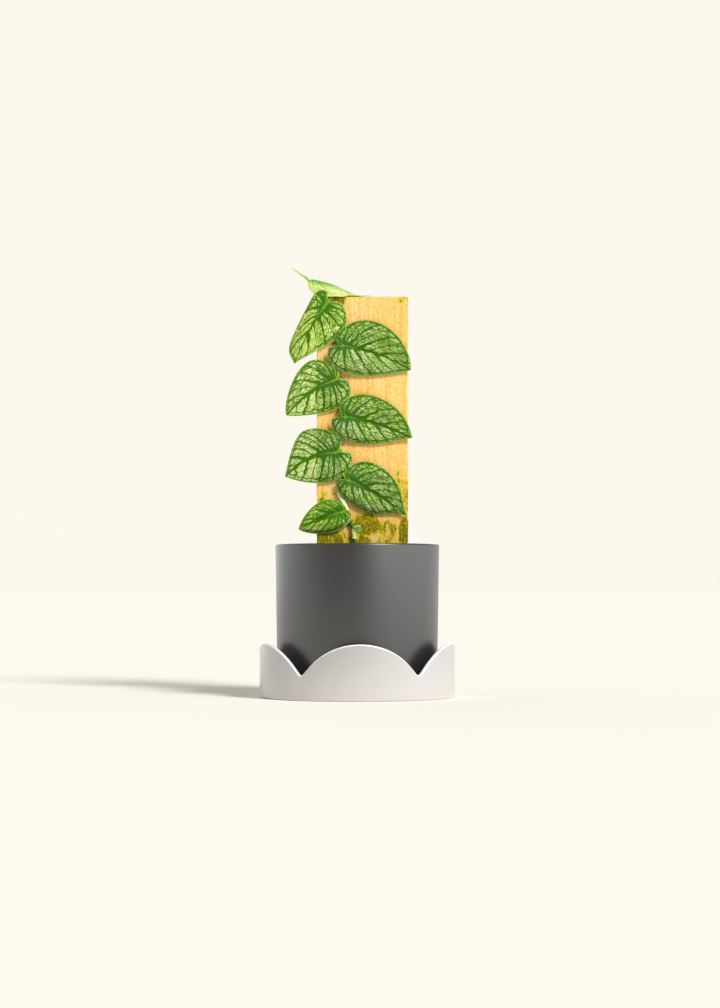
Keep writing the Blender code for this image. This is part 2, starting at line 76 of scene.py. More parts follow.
# The saucer is one cast and glazed piece: a flat floor and an upright wall, cut while it was soft
# into five round scallops and rounded over all along its rim. The satin glaze has a painted
# highlight along the rim, and is painted lighter towards its foot for the light the floor throws up.
SAUCER_RADIUS = 94.0
SAUCER_WALL = 3.6
SAUCER_FLOOR = 4.0
SAUCER_ROUND = 1.7
SCALLOPS = 5
SCALLOP_PEAK = 53.1
SCALLOP_NOTCH = 18.6
SCALLOP_TURN = math.radians(1.8)
NOTCH_ROUND = 3.3
NOTCH_CROWD = 0.35  # how much closer the wall's points stand near a notch
# How far down from the rim's top its painted highlight fades out.
RIM_HIGHLIGHT_DEPTH = 1.6


def linear(red, green, blue):
    """A colour as the eye sees it, 0 to 255, as linear light with an alpha of 1."""
    parts = [c / 255 for c in (red, green, blue)]
    return (*[c / 12.92 if c <= 0.04045 else ((c + 0.055) / 1.055) ** 2.4 for c in parts], 1.0)


GLAZE = linear(184, 181, 178)
# Painted light: the glaze near the foot, lighter for the light the floor throws up.
GLAZE_PAINTED_BOUNCE = linear(199, 196, 193)
# Painted highlight: the colour along the rounded rim.
GLAZE_PAINTED_HIGHLIGHT = linear(252, 250, 247)


class Nodes:
    """Adds shader nodes to one tree. Most calls give back the new node's first output."""

    def __init__(self, tree, material=None):
        self.tree = tree
        self.material = material

    def put(self, node, values):
        """Joins each value to the node's socket of that name or number, or sets it there."""
        for socket, value in values.items():
            if isinstance(value, bpy.types.NodeSocket):
                self.tree.links.new(value, node.inputs[socket])
            elif value is not None:
                node.inputs[socket].default_value = value

    def add(self, kind, inputs, **settings):
        made = self.tree.nodes.new("ShaderNode" + kind)
        for name, value in settings.items():
            setattr(made, name, value)
        self.put(made, inputs)
        return made.outputs[0]

    def math(self, operation, a, b=None, c=None):
        return self.add("Math", {0: a, 1: b, 2: c}, operation=operation)

    def plus(self, a, b):
        return self.math("ADD", a, b)

    def minus(self, a, b):
        return self.math("SUBTRACT", a, b)

    def times(self, a, b):
        return self.math("MULTIPLY", a, b)

    def between(self, value, low, high, start=0.0, end=1.0):
        """Goes smoothly from start, where the value is at low, to end, where it is at high."""
        return self.add("MapRange", {0: value, 1: low, 2: high, 3: start, 4: end},
                        interpolation_type="SMOOTHSTEP")

    def mix(self, share, a, b, blend_type="MIX"):
        made = self.add("Mix", {0: share, 6: a, 7: b}, data_type="RGBA", blend_type=blend_type)
        return made.node.outputs[2]

    def over(self, colour, value, low, high, share, tone):
        """Lays up to this share of a tone over a colour, as the value goes from low to high."""
        return self.mix(self.between(value, low, high, 0.0, share), colour, tone)

    def vector(self, x, y, z):
        return self.add("CombineXYZ", {0: x, 1: y, 2: z})

    def place(self, x=1, y=1, z=1):
        """Places on the piece, in metres, stretched along each axis by these scales."""
        own = self.add("TexCoord", {}).node.outputs["Object"]
        return self.add("Mapping", {"Vector": own, "Scale": (x, y, z)})

    def along(self, axis):
        return self.add("SeparateXYZ", {0: self.place()}).node.outputs[axis]

    def noise(self, vector, scale, detail=3.0, roughness=0.55, distortion=0.0):
        return self.add("TexNoise", {"Vector": vector, "Scale": scale, "Detail": detail,
                                     "Roughness": roughness, "Distortion": distortion})

    def attribute(self, name):
        return self.add("Attribute", {}, attribute_name=name).node.outputs["Fac"]

    def group(self, group, inputs):
        return self.add("Group", inputs, node_tree=group).node.outputs

    def bump(self, height, strength, distance):
        return self.add("Bump", {"Height": height, "Strength": strength, "Distance": distance})

    def finish(self, **values):
        """Gives values to the shader's sockets, and gives back the finished material."""
        values = {socket.replace("_", " "): value for socket, value in values.items()}
        self.put(self.tree.nodes["Principled BSDF"], values)
        return self.material


def new_material(name):
    made = bpy.data.materials.new(name)
    made.use_nodes = True
    return Nodes(made.node_tree, made)


def new_group(name, inputs, outputs):
    """An empty node group with named sockets: numbers, but for those named as a colour or normal."""
    made = bpy.data.node_groups.new(name, "ShaderNodeTree")
    for names, in_out in ((inputs, "INPUT"), (outputs, "OUTPUT")):
        for socket in names:
            kind = "NodeSocketColor" if "Colour" in socket else "NodeSocketFloat"
            kind = "NodeSocketVector" if "Normal" in socket else kind
            made.interface.new_socket(socket, in_out=in_out, socket_type=kind)
    entry = made.nodes.new("NodeGroupInput")
    leaving = made.nodes.new("NodeGroupOutput")
    return made, Nodes(made), entry.outputs, leaving


def mesh_of(bm, name):
    mesh = bpy.data.meshes.new(name)
    bm.to_mesh(mesh)
    bm.free()
    return mesh


def finish_mesh(bm, name, *materials, sharp=40):
    """Turns a bmesh in millimetres into a piece whose place is in its mesh."""
    bmesh.ops.scale(bm, vec=(MM, MM, MM), verts=bm.verts)
    mesh = mesh_of(bm, name)
    mesh.shade_smooth()
    mesh.set_sharp_from_angle(angle=math.radians(sharp))
    for surface in materials:
        mesh.materials.append(surface)
    made = add_object(name, mesh)
    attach(made, "root")
    return made


def turned(profile, steps, bevel, segments=4):
    """Turns a closed profile of (radius, height) about the upright axis, and rounds its sharp rings."""
    bm = bmesh.new()
    verts = [bm.verts.new((radius, 0, height)) for radius, height in profile]
    edges = [bm.edges.new((a, b)) for a, b in zip(verts, verts[1:] + verts[:1])]
    bmesh.ops.spin(bm, geom=verts + edges, axis=(0, 0, 1), angle=math.tau, steps=steps, use_merge=True)
    bmesh.ops.remove_doubles(bm, verts=bm.verts, dist=0.001)
    bmesh.ops.dissolve_degenerate(bm, edges=bm.edges, dist=0.001)
    bmesh.ops.recalc_face_normals(bm, faces=bm.faces)
    rings = [e for e in bm.edges if len(e.link_faces) == 2 and e.calc_face_angle() > math.radians(35)]
    bmesh.ops.bevel(bm, geom=rings, offset=bevel, offset_type="OFFSET", segments=segments, profile=0.5,
                    affect="EDGES", material=-1, clamp_overlap=True)
    return bm


def scallop_height(turn):
    """Height of the saucer's rim, each scallop a round arch between two narrow, rounded notches."""
    half = math.pi / SCALLOPS
    off_peak = abs((turn + half) % (2 * half) - half)
    off_peak = half - math.hypot(half - off_peak, NOTCH_ROUND / SAUCER_RADIUS)
    rise = SCALLOP_PEAK - SCALLOP_NOTCH
    chord = SAUCER_RADIUS * half
    arch = (chord**2 + rise**2) / (2 * rise)
    drop = arch - math.sqrt(arch**2 - (SAUCER_RADIUS * off_peak) ** 2)
    return SCALLOP_PEAK - drop


def make_fine_grit():
    """Shared by the glaze and the clay: a little uneven colour, gloss and surface."""
    inputs = ("Base Colour", "Uneven", "Gloss", "Grain", "Relief")
    group, nodes, given, result = new_group("fine_grit", inputs, ("Colour", "Roughness", "Normal"))
    broad = nodes.minus(nodes.noise(nodes.place(), 16.0), 0.5)
    fine = nodes.noise(nodes.place(), given["Grain"], 2.0)
    shade = nodes.plus(broad, nodes.times(nodes.minus(fine, 0.5), 1.6))
    bright = nodes.plus(nodes.times(shade, given["Uneven"]), 1.0)
    nodes.put(result, {
        "Colour": nodes.mix(1.0, given["Base Colour"], nodes.vector(bright, bright, bright), "MULTIPLY"),
        "Roughness": nodes.plus(given["Gloss"], nodes.times(broad, 0.12)),
        "Normal": nodes.bump(fine, given["Relief"], 0.0002),
    })
    return group


fine_grit = make_fine_grit()


def finish_fired(nodes, colour, uneven, gloss, grain, relief, **values):
    """Finishes a fired surface with the fine grit."""
    grit = nodes.group(fine_grit, {"Base Colour": colour, "Uneven": uneven, "Gloss": gloss,
                                   "Grain": grain, "Relief": relief})
    return nodes.finish(Base_Color=grit["Colour"], Roughness=grit["Roughness"], Normal=grit["Normal"],
                        **values)


def glaze_material():
    nodes = new_material("satin_glaze")
    # Painted light: lighter towards the foot, for the light the floor throws up on the wall.
    colour = nodes.mix(nodes.between(nodes.along("Z"), 0.0, 0.055), GLAZE_PAINTED_BOUNCE, GLAZE)
    # Painted highlight along the rounded rim.
    colour = nodes.over(colour, nodes.attribute("rim"), 0.0, 0.5, 1.0, GLAZE_PAINTED_HIGHLIGHT)
    return finish_fired(nodes, colour, uneven=0.05, gloss=0.42, grain=900.0, relief=0.12,
                        Coat_Weight=0.6, Coat_Roughness=0.2)


def make_saucer():
    outer = SAUCER_RADIUS
    inner = SAUCER_RADIUS - SAUCER_WALL
    rim = 100.0  # heights above this mark are measured from the scalloped rim
    profile = [(0, 0), (outer, 0), (outer, rim), (inner, rim), (inner, SAUCER_FLOOR), (0, SAUCER_FLOOR)]
    bm = turned(profile, steps=400, bevel=SAUCER_ROUND, segments=5)
    painted_highlight = bm.verts.layers.float.new("rim")
    step = math.tau / SCALLOPS
    for vert in bm.verts:
        radius = math.hypot(vert.co.x, vert.co.y)
        turn = math.atan2(vert.co.x, -vert.co.y)
        scallop = round(turn / step)
        across = 2 * turn / step - 2 * scallop
        crowded = (1 + NOTCH_CROWD) * across - NOTCH_CROWD * across**3
        local = crowded * step / 2
        if vert.co.z > rim / 2:
            # The rim's painted highlight: full at the rim's top, fading out further down.
            vert[painted_highlight] = max(0.0, 1 - (rim - vert.co.z) / RIM_HIGHLIGHT_DEPTH)
            vert.co.z += scallop_height(local) - rim
        angle = scallop * step + local + SCALLOP_TURN
        vert.co.x = radius * math.sin(angle)
        vert.co.y = -radius * math.cos(angle)
    return finish_mesh(bm, "scalloped_saucer", glaze_material())


scalloped_saucer = make_saucer()
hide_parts("saucer")


# The pot is a straight cylinder of dark grey clay that narrows a little downwards, with a thick
# rounded lip and a drain hole in its floor. It is smooth and has a low satin sheen.
GAP = 0.3  # between pieces that touch
POT_TOP = 147.0
POT_RIM_RADIUS = 79.0
POT_BASE_RADIUS = 76.8
POT_WALL = 5.5
POT_FLOOR = 7.0
POT_ROUND = 1.6
DRAIN_RADIUS = 7.0
CLAY = linear(32, 32, 33)


def pot_radius(height):
    share = (height - SAUCER_FLOOR) / (POT_TOP - SAUCER_FLOOR)
    return POT_BASE_RADIUS + (POT_RIM_RADIUS - POT_BASE_RADIUS) * share


def clay_material():
    return finish_fired(new_material("dark_clay"), CLAY, uneven=0.16, gloss=0.35, grain=1500.0, relief=0.25,
                        Specular_IOR_Level=1.0, IOR=1.6)


def make_pot():
    base = SAUCER_FLOOR + GAP
    floor = base + POT_FLOOR
    profile = [
        (DRAIN_RADIUS, base), (pot_radius(base), base), (POT_RIM_RADIUS, POT_TOP),
        (POT_RIM_RADIUS - POT_WALL, POT_TOP), (pot_radius(floor) - POT_WALL, floor), (DRAIN_RADIUS, floor),
    ]
    return finish_mesh(turned(profile, steps=256, bevel=POT_ROUND), "clay_pot", clay_material())


clay_pot = make_pot()
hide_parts("pot")


# The soil is damp potting mix, pressed in round the board's foot and heaped a little in the middle.
# Its crumbs and bark chips lie loose over the surface.
SOIL_TOP = 134.0
SOIL_CROWN = 2.5
SOIL_LUMPS = 2.6
SOIL_RADIUS = 72.6
SOIL_CRUMBLE = 0.9
CRUMBS = 2600
CRUMB_SIZES = (0.5, 1.5)
BARK_CHIP = 1.7  # how much larger one crumb in four is
SOIL_DARK = linear(38, 27, 19)
SOIL_LIGHT = linear(84, 62, 44)
BOARD_WIDTH = 89.0
BOARD_THICKNESS = 19.0
BOARD_MIDDLE = 5.0
BOARD_FRONT = 6.0


def soil_height(x, y):
    from_middle = math.hypot(x, y) / SOIL_RADIUS
    lumps = SOIL_LUMPS * noise.noise(Vector((x, y, SOIL_TOP)) * 0.11)
    return SOIL_TOP + SOIL_CROWN * (1 - from_middle**2) + lumps


def soil_material():
    nodes = new_material("potting_soil")
    clods = nodes.noise(nodes.place(), 420.0, 6.0, 0.7)
    damp = nodes.noise(nodes.place(), 60.0)
    share = nodes.between(nodes.plus(clods, nodes.times(damp, 0.4)), 0.5, 0.95)
    return nodes.finish(Base_Color=nodes.mix(share, SOIL_DARK, SOIL_LIGHT), Specular_IOR_Level=0.25,
                        Roughness=nodes.between(damp, 0.3, 0.7, 0.75, 0.98),
                        Normal=nodes.bump(clods, 0.8, 0.001))


soil = soil_material()


def make_soil():
    bottom = SAUCER_FLOOR + 2 * GAP + POT_FLOOR
    inner = pot_radius(bottom) - POT_WALL
    profile = [
        (0, bottom), (inner - 5.2, bottom), (inner - 0.8, bottom + 4.6),
        (SOIL_RADIUS, SOIL_TOP), (0, SOIL_TOP),
    ]
    bm = turned(profile, steps=160, bevel=0.4, segments=1)
    on_top = [e for e in bm.edges if min(v.co.z for v in e.verts) > SOIL_TOP - 1]
    spokes = [e for e in on_top if e.calc_length() > SOIL_RADIUS / 2]
    bmesh.ops.subdivide_edges(bm, edges=spokes, cuts=46, use_grid_fill=True)
    for vert in bm.verts:
        if vert.co.z > SOIL_TOP - 1:
            x, y = vert.co.xy
            crumbly = SOIL_CRUMBLE * noise.fractal(Vector((x, y, 0)) * 0.35, 1.0, 2.0, 4)
            vert.co.z = soil_height(x, y) + crumbly
    return finish_mesh(bm, "soil_bed", soil)


def scatter(count, add_one, batch=60):
    """Adds many small shapes, a batch at a time, because a large mesh is slow to add to."""
    whole = bmesh.new()
    for first in range(0, count, batch):
        part = bmesh.new()
        for number in range(first, min(first + batch, count)):
            add_one(part, number)
        mesh = mesh_of(part, "batch")
        whole.from_mesh(mesh)
        bpy.data.meshes.remove(mesh)
    return whole


def add_crumb(bm, number):
    """A small rough lump, pressed a little into the soil anywhere but on the board's place."""
    turn = random.uniform(0, math.tau)
    radius = (SOIL_RADIUS - 1.5) * math.sqrt(random.random())
    x, y = radius * math.cos(turn), radius * math.sin(turn)
    size = random.uniform(*CRUMB_SIZES) * random.choice((1, 1, 1, BARK_CHIP))
    inside_x = abs(x - BOARD_MIDDLE) < BOARD_WIDTH / 2 + size
    inside_y = abs(y - BOARD_FRONT - BOARD_THICKNESS / 2) < BOARD_THICKNESS / 2 + size
    if inside_x and inside_y:
        return
    shape = Matrix.Diagonal((size, size * random.uniform(0.5, 0.9), size * random.uniform(0.35, 0.7), 1))
    spin = Matrix.Rotation(random.uniform(0, math.tau), 4, "Z")
    lean = Matrix.Rotation(random.uniform(-0.5, 0.5), 4, "X")
    place = Matrix.Translation((x, y, soil_height(x, y) + 0.35 * size))
    lump = bmesh.ops.create_icosphere(bm, subdivisions=1, radius=1, matrix=place @ spin @ lean @ shape)
    for vert in lump["verts"]:
        vert.co += 0.22 * size * noise.noise_vector(vert.co * 1.3)


soil_bed = make_soil()
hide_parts("soil")
soil_crumbs = finish_mesh(scatter(CRUMBS, add_crumb), "soil_crumbs", soil, sharp=25)


# The board is one length of raw sawn pine. Its faces keep the saw's fine upright grain, its long
# edges are a little ragged, and its foot is green and brown with algae where it has stood damp.
BOARD_TOP = 387.0
BOARD_BOTTOM = 30.0
BOARD_BEVEL = 0.8
BOARD_RAGGED = 0.8
GRAIN_RIDGE = 0.16
BOARD_ROWS = 300
BOARD_COLUMNS = 74
PINE_PALE = linear(246, 208, 122)
PINE = linear(242, 196, 101)
PINE_GRAIN = linear(236, 168, 74)
PINE_ORANGE = linear(234, 150, 54)
PINE_LIGHT = linear(255, 228, 170)
PINE_FLECK = linear(150, 90, 40)
ALGAE = linear(214, 200, 34)
ALGAE_DARK = linear(108, 110, 2)
ALGAE_BROWN = linear(238, 174, 60)
ALGAE_PATCHES = (  # middle across and up, half width and half height, depth of colour
    (-28, 150, 18, 22, 0.95), (-33, 178, 9, 26, 0.55), (8, 166, 17, 13, 1.0), (2, 148, 14, 14, 0.8),
    (29, 162, 12, 12, 0.55), (46, 160, 8, 17, 1.0), (34, 146, 16, 9, 0.5), (48, 188, 5, 30, 0.6),
    (20, 150, 12, 9, 0.45), (41, 203, 8, 20, 0.4), (-22, 385, 14, 9, 0.95), (-4, 388, 16, 4, 0.5),
    (45, 386, 8, 6, 0.6), (-37, 140, 12, 12, 1.25), (-19, 143, 8, 13, 1.1),
)


def smooth_step(value, low, high):
    share = min(1.0, max(0.0, (value - low) / (high - low)))
    return share * share * (3 - 2 * share)


def algae_cover(x, z, depth_in=0.0):
    """How green the board is, from 0 to 1: in soft patches near the soil, up both edges and at the top.

    The patches wander up and down further in than the front face, so the film is ragged there too."""
    wander = 1.6 * min(depth_in, 10.0) * noise.noise((x * 0.1, depth_in * 0.25, 5.0))
    cover = 0.0
    for middle_x, middle_z, half_width, half_height, depth in ALGAE_PATCHES:
        off = math.hypot((x - middle_x) / half_width, (z + wander - middle_z) / half_height)
        cover = max(cover, depth * (1 - smooth_step(off, 0.45, 1.25)))
    streaks = noise.noise((x * 0.5, z * 0.06, 3.0 + depth_in * 0.5))
    patches = noise.fractal((x * 0.16, z * 0.10, 9.0 + depth_in * 0.16), 1.0, 2.0, 4)
    return min(1.0, max(0.0, cover + (0.35 * streaks + 0.45 * patches) * smooth_step(cover, 0.0, 0.4)))


def pine_material():
    nodes = new_material("sawn_pine")
    long_grain = nodes.noise(nodes.place(z=0.03), 340.0, 5.0, 0.7, 0.4)
    fine_grain = nodes.noise(nodes.place(z=0.12), 1500.0, 3.0, 0.65)
    speckle = nodes.noise(nodes.place(z=0.6), 950.0, 3.0, 0.75)
    flecks = nodes.noise(nodes.place(z=0.35), 520.0, 2.0, 0.5)
    broad = nodes.noise(nodes.place(z=0.3), 30.0)
    wood = nodes.mix(nodes.between(broad, 0.35, 0.65), PINE, PINE_PALE)
    for marks in (
        (long_grain, 0.48, 0.64, 0.75, PINE_GRAIN), (long_grain, 0.46, 0.36, 0.6, PINE_LIGHT),
        (fine_grain, 0.5, 0.64, 0.5, PINE_GRAIN), (speckle, 0.52, 0.64, 0.55, PINE_ORANGE),
        (speckle, 0.48, 0.38, 0.6, PINE_LIGHT), (flecks, 0.70, 0.78, 0.7, PINE_FLECK),
    ):
        wood = nodes.over(wood, *marks)
    algae = nodes.attribute("algae")
    patch = nodes.minus(nodes.noise(nodes.place(z=0.4), 560.0, 5.0, 0.8), 0.5)
    deep = nodes.plus(nodes.times(algae, 0.5), patch)
    green = nodes.mix(nodes.between(deep, 0.25, 0.38), ALGAE, ALGAE_DARK)
    green = nodes.over(green, speckle, 0.53, 0.58, 0.7, ALGAE_BROWN)
    film = nodes.between(nodes.plus(algae, nodes.times(patch, 1.6)), 0.1, 0.6)
    relief = nodes.plus(nodes.times(long_grain, 0.6), nodes.times(fine_grain, 0.4))
    return nodes.finish(Base_Color=nodes.mix(film, wood, green), Specular_IOR_Level=0.1,
                        Roughness=nodes.between(long_grain, 0.3, 0.7, 0.6, 0.78),
                        Normal=nodes.bump(relief, 0.35, 0.0005))


def make_board():
    bm = bmesh.new()
    centre = Vector((BOARD_MIDDLE, BOARD_FRONT + BOARD_THICKNESS / 2, (BOARD_TOP + BOARD_BOTTOM) / 2))
    size = Matrix.Diagonal((BOARD_WIDTH, BOARD_THICKNESS, BOARD_TOP - BOARD_BOTTOM, 1))
    bmesh.ops.create_cube(bm, size=1, matrix=Matrix.Translation(centre) @ size)
    bmesh.ops.bevel(bm, geom=bm.edges[:], offset=BOARD_BEVEL, offset_type="OFFSET", segments=2, profile=0.5,
                    affect="EDGES", material=-1)
    for axis, cuts in ((2, BOARD_ROWS), (0, BOARD_COLUMNS), (1, 12)):
        long_edges = [e for e in bm.edges if abs((e.verts[0].co - e.verts[1].co)[axis]) > 15]
        bmesh.ops.subdivide_edges(bm, edges=long_edges, cuts=cuts, use_grid_fill=True)
    algae = bm.verts.layers.float.new("algae")
    for vert in bm.verts:
        x, y, z = vert.co
        side = (x - centre.x) / (BOARD_WIDTH / 2)
        ragged = (noise.noise((2 * side, (y - centre.y) * 0.05, z * 0.07)) - 0.6) * side
        splinters = 0.5 * noise.fractal((side, y * 0.2, z * 0.22), 0.6, 2.0, 4)
        vert.co.x += BOARD_RAGGED * (ragged + splinters) * side**8
        face = (y - centre.y) / (BOARD_THICKNESS / 2)
        ridges = noise.noise((x * 0.9, 4 * face, z * 0.02))
        ridges += 0.5 * noise.noise((x * 0.3, y, z * 0.3))
        vert.co.y += GRAIN_RIDGE * ridges * face
        if z > BOARD_TOP - 1:
            vert.co.z += 0.25 * noise.noise((x * 0.7, y * 0.7, 0))
        vert[algae] = algae_cover(x, z, y - BOARD_FRONT)
    return finish_mesh(bm, "pine_board", pine_material())


pine_board = make_board()
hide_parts("board")


# The stem creeps up the board in a slight zigzag, green and about 4 mm thick, swollen at each joint.
# Brown roots leave the joints and grip the wood. Near its foot one stretch is pale, and an old leaf
# has left a cut sheath and a dead stub.
STEM_RADIUS = 1.8
STEM_OFF_BOARD = 2.45
STEM_ROUTE = (  # across the board, off its face, up, and the stem's radius
    (-2.4, 9.5, 112, 1.5), (-2.4, 9.5, 138, 1.5), (-2.2, 5.5, 148, 1.45), (-3.6, 2.5, 159, 1.5),
    (-7.2, 2.4, 169.1, 1.7), (-10.5, 2.6, 180.6, 2.3), (-14, 2.5, 189, 2.1), (-17.7, 2.45, 195.6, 1.5),
    (-17.8, 2.45, 205, 1.7), (-15.2, 2.45, 218, 1.8), (-16.2, 2.45, 232, 1.8), (-18, 2.45, 246, 1.8),
    (-16.2, 2.45, 262, 1.8), (-15.8, 2.45, 278, 1.8), (-18, 2.45, 294, 1.8), (-19.2, 2.45, 311, 1.8),
    (-17.8, 2.45, 328, 1.8), (-18.8, 2.45, 345, 1.8), (-21.6, 2.45, 362, 1.75), (-25.2, 2.45, 377, 1.7),
    (-29, 2.6, 384, 1.6), (-34.5, 2.9, 385.6, 1.4), (-38, 1.8, 388.4, 1.1), (-41, -3.5, 391.3, 1.1),
    (-45.9, -8, 396.9, 1.1),
)
SHEATH_ROUTE = ((-3, 3.6, 152.9, 2), (-3.2, 3.8, 155.5, 2.1), (-3.4, 3.9, 158.5, 2), (-4.4, 3.4, 162.4, 1.3))
STUB_ROUTE = ((-7.2, 2.4, 170.5, 1.0), (-7.0, 2.9, 174.0, 0.85), (-6.9, 3.2, 177.6, 0.95))
JOINTS = (4, 7, 9, 11, 13, 15, 17, 19)  # where in the stem's route they are
JOINT_SWELL = 0.22
JOINT_LENGTH = 1.6
ROOTS_A_JOINT = 9
PALE_FROM = (0.1795, 0.1815)  # metres up, where the stem turns pale, and then green again
PALE_TO = (0.2, 0.1965)
DARK_BELOW = (0.172, 0.167)
SHEATH_FOOT_END = (0.1535, 0.1555)
STEM_GREEN = linear(98, 142, 48)
STEM_STREAK = linear(122, 160, 66)
STEM_DARK = linear(38, 110, 36)
STEM_PALE = linear(255, 254, 206)
SHEATH_PALE = linear(226, 226, 140)
SHEATH_FOOT = linear(250, 246, 226)
SHEATH_FIBRE = linear(170, 170, 70)
ROOT_BROWN = linear(150, 104, 60)
ROOT_PALE = linear(172, 128, 74)


def smooth_path(points, steps):
    """Points of a smooth curve through the given ones, radius included."""
    ends = [points[0], *points, points[-1]]
    path = []
    for before, start, end, after in zip(ends, ends[1:], ends[2:], ends[3:]):
        for step in range(steps):
            t = step / steps
            path.append([
                0.5 * (2 * b + (c - a) * t + (2 * a - 5 * b + 4 * c - d) * t**2
                       + (3 * b - a - 3 * c + d) * t**3)
                for a, b, c, d in zip(before, start, end, after)
            ])
    return path + [list(points[-1])]


def grow_tube(bm, path, sides):
    """A round tube along points of (x, y, z, radius), pushed out ring by ring and closed at its ends."""
    spots = [Vector(point[:3]) for point in path]
    ring = bmesh.ops.create_circle(bm, cap_ends=True, segments=sides, radius=1)["verts"]
    facing = Vector((0, 0, 1))
    last = Matrix.Identity(4)
    for index, (spot, point) in enumerate(zip(spots, path)):
        ahead = (spots[min(index + 1, len(spots) - 1)] - spots[max(index - 1, 0)]).normalized()
        turn = facing.rotation_difference(ahead).to_matrix().to_4x4() @ last.to_3x3().normalized().to_4x4()
        facing = ahead
        frame_now = Matrix.Translation(spot) @ turn @ Matrix.Scale(point[3], 4)
        if index:
            edges = {e for v in ring for e in v.link_edges if all(w in ring for w in e.verts)}
            pushed = bmesh.ops.extrude_edge_only(bm, edges=list(edges))["geom"]
            ring = [v for v in pushed if isinstance(v, bmesh.types.BMVert)]
        bmesh.ops.transform(bm, matrix=frame_now @ last.inverted(), verts=ring)
        last = frame_now
    bmesh.ops.contextual_create(bm, geom=ring)


def make_tube(name, path, sides, surface):
    bm = bmesh.new()
    grow_tube(bm, path, sides)
    return finish_mesh(bm, name, surface)


def finish_living(nodes, colour, roughness, *relief):
    """Finishes a living surface, whose gloss is soft and weak. Relief is a height, strength and distance."""
    normal = nodes.bump(*relief) if relief else None
    return nodes.finish(Base_Color=colour, Roughness=roughness, Specular_IOR_Level=0.06, Normal=normal)


def stem_material():
    nodes = new_material("stem_skin")
    z = nodes.along("Z")
    streak = nodes.noise(nodes.place(z=0.12), 900.0, 3.0)
    colour = nodes.mix(nodes.between(streak, 0.4, 0.65), STEM_GREEN, STEM_STREAK)
    pale_stretch = nodes.times(nodes.between(z, *PALE_FROM), nodes.between(z, *PALE_TO))
    colour = nodes.mix(pale_stretch, colour, STEM_PALE)
    colour = nodes.over(colour, z, *DARK_BELOW, 1.0, STEM_DARK)
    return finish_living(nodes, colour, 0.45, streak, 0.25, 0.0003)


def sheath_material():
    nodes = new_material("cut_sheath")
    fibre = nodes.noise(nodes.place(z=0.1), 1200.0)
    colour = nodes.mix(nodes.between(nodes.along("Z"), *SHEATH_FOOT_END), SHEATH_FOOT, SHEATH_PALE)
    colour = nodes.over(colour, fibre, 0.5, 0.7, 0.4, SHEATH_FIBRE)
    return finish_living(nodes, colour, 0.6, fibre, 0.3, 0.0003)


def root_material():
    nodes = new_material("holding_root")
    bark = nodes.noise(nodes.place(), 1600.0, 4.0)
    return finish_living(nodes, nodes.mix(bark, ROOT_BROWN, ROOT_PALE), 0.8, bark, 0.5, 0.0003)


def off_board(route):
    """A route's points of (x, distance off the board's face, z, radius), as (x, y, z, radius)."""
    return [(x, BOARD_FRONT - off, z, radius) for x, off, z, radius in route]


root = root_material()
stem_points = off_board(STEM_ROUTE)


def make_stem():
    path = smooth_path(stem_points, 8)
    for place in path:
        near = min(abs(place[2] - stem_points[joint][2]) for joint in JOINTS)
        swell = JOINT_SWELL * math.exp(-((near / JOINT_LENGTH) ** 2))
        place[3] *= 1 + swell + 0.04 * noise.noise(Vector(place[:3]) * 0.4)
    return make_tube("climbing_stem", path, 18, stem_material())


def add_root(bm, number):
    """A thin wandering root from one of the joints, pressed flat against the wood."""
    joint = JOINTS[number // ROOTS_A_JOINT]
    x, y, z, radius = stem_points[joint]
    side = 1 if number % 2 else -1
    reach = random.uniform(3.0, 7.5)
    climb = random.uniform(-6.0, 4.0)
    thick = random.uniform(0.2, 0.5)
    start = z + random.uniform(-2.8, 2.8)
    route = [(x, y, start, thick)]
    for step in range(1, 6):
        share = step / 5
        sway = 0.8 * noise.noise((number * 3.1, joint * 1.7, share * 4))
        lie = BOARD_FRONT - thick - 0.1 + 0.35 * (y - BOARD_FRONT) * max(0, 1 - 3 * share)
        up = start + climb * share**1.3 + sway
        route.append((x + side * reach * share, lie, up, thick * (1 - 0.6 * share)))
    grow_tube(bm, smooth_path(route, 2), 6)


climbing_stem = make_stem()
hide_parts("vine_stem")
holding_roots = finish_mesh(scatter(ROOTS_A_JOINT * len(JOINTS), add_root, 4), "holding_roots", root)
leaf_sheath = make_tube("leaf_sheath", smooth_path(off_board(SHEATH_ROUTE), 5), 16, sheath_material())
dead_stub = make_tube("dead_stub", smooth_path(off_board(STUB_ROUTE), 5), 12, root)


# The leaves lie like shingles over the stem. Each is one soft blade, heart-shaped at its base, dark
# green along its veins and silvery between them, with a vein that runs all round inside the margin.
BLADE_THICKNESS = 0.55
BLADE_OFF_BOARD = 7.2
BLADE_TILT = 0.09
VEINS = 5
STALK_RADIUS = 1.1
VEIN_TURN = Matrix.Rotation(math.radians(15), 2)  # each side vein leaves and arrives bent by this
RIB_SUNK = 0.4
QUILT_RISE = 0.85
EDGE_VEIN_SUNK = 0.25
MARGIN_WAVE = 0.3
DOME_RISE = 1.3
DOME_FALL = 1.1
UPPER_CURL = (0.0, 0.9)  # how far the margin bends to the board by the stalk, and how much more further out
LOWER_CURL = (2.4, 3.2)
TIP_CURL = 2.6
# Past the board's edges a leaf's colours are painted brighter, for the light that comes through it.
PAST_LEFT = (-0.0388, -0.0400)  # metres across, where a leaf passes the board's left edge
PAST_RIGHT = (0.0488, 0.0500)
ALONG_STEPS = 132
HALF_STEPS = 42
LEAF_DARK = linear(58, 98, 0)
LEAF_DEEP = linear(62, 106, 32)
LEAF_PALE = linear(174, 208, 98)
LEAF_SILVER = linear(206, 228, 156)
LEAF_UPPER = linear(170, 210, 84)
LEAF_RIM = linear(98, 160, 24)
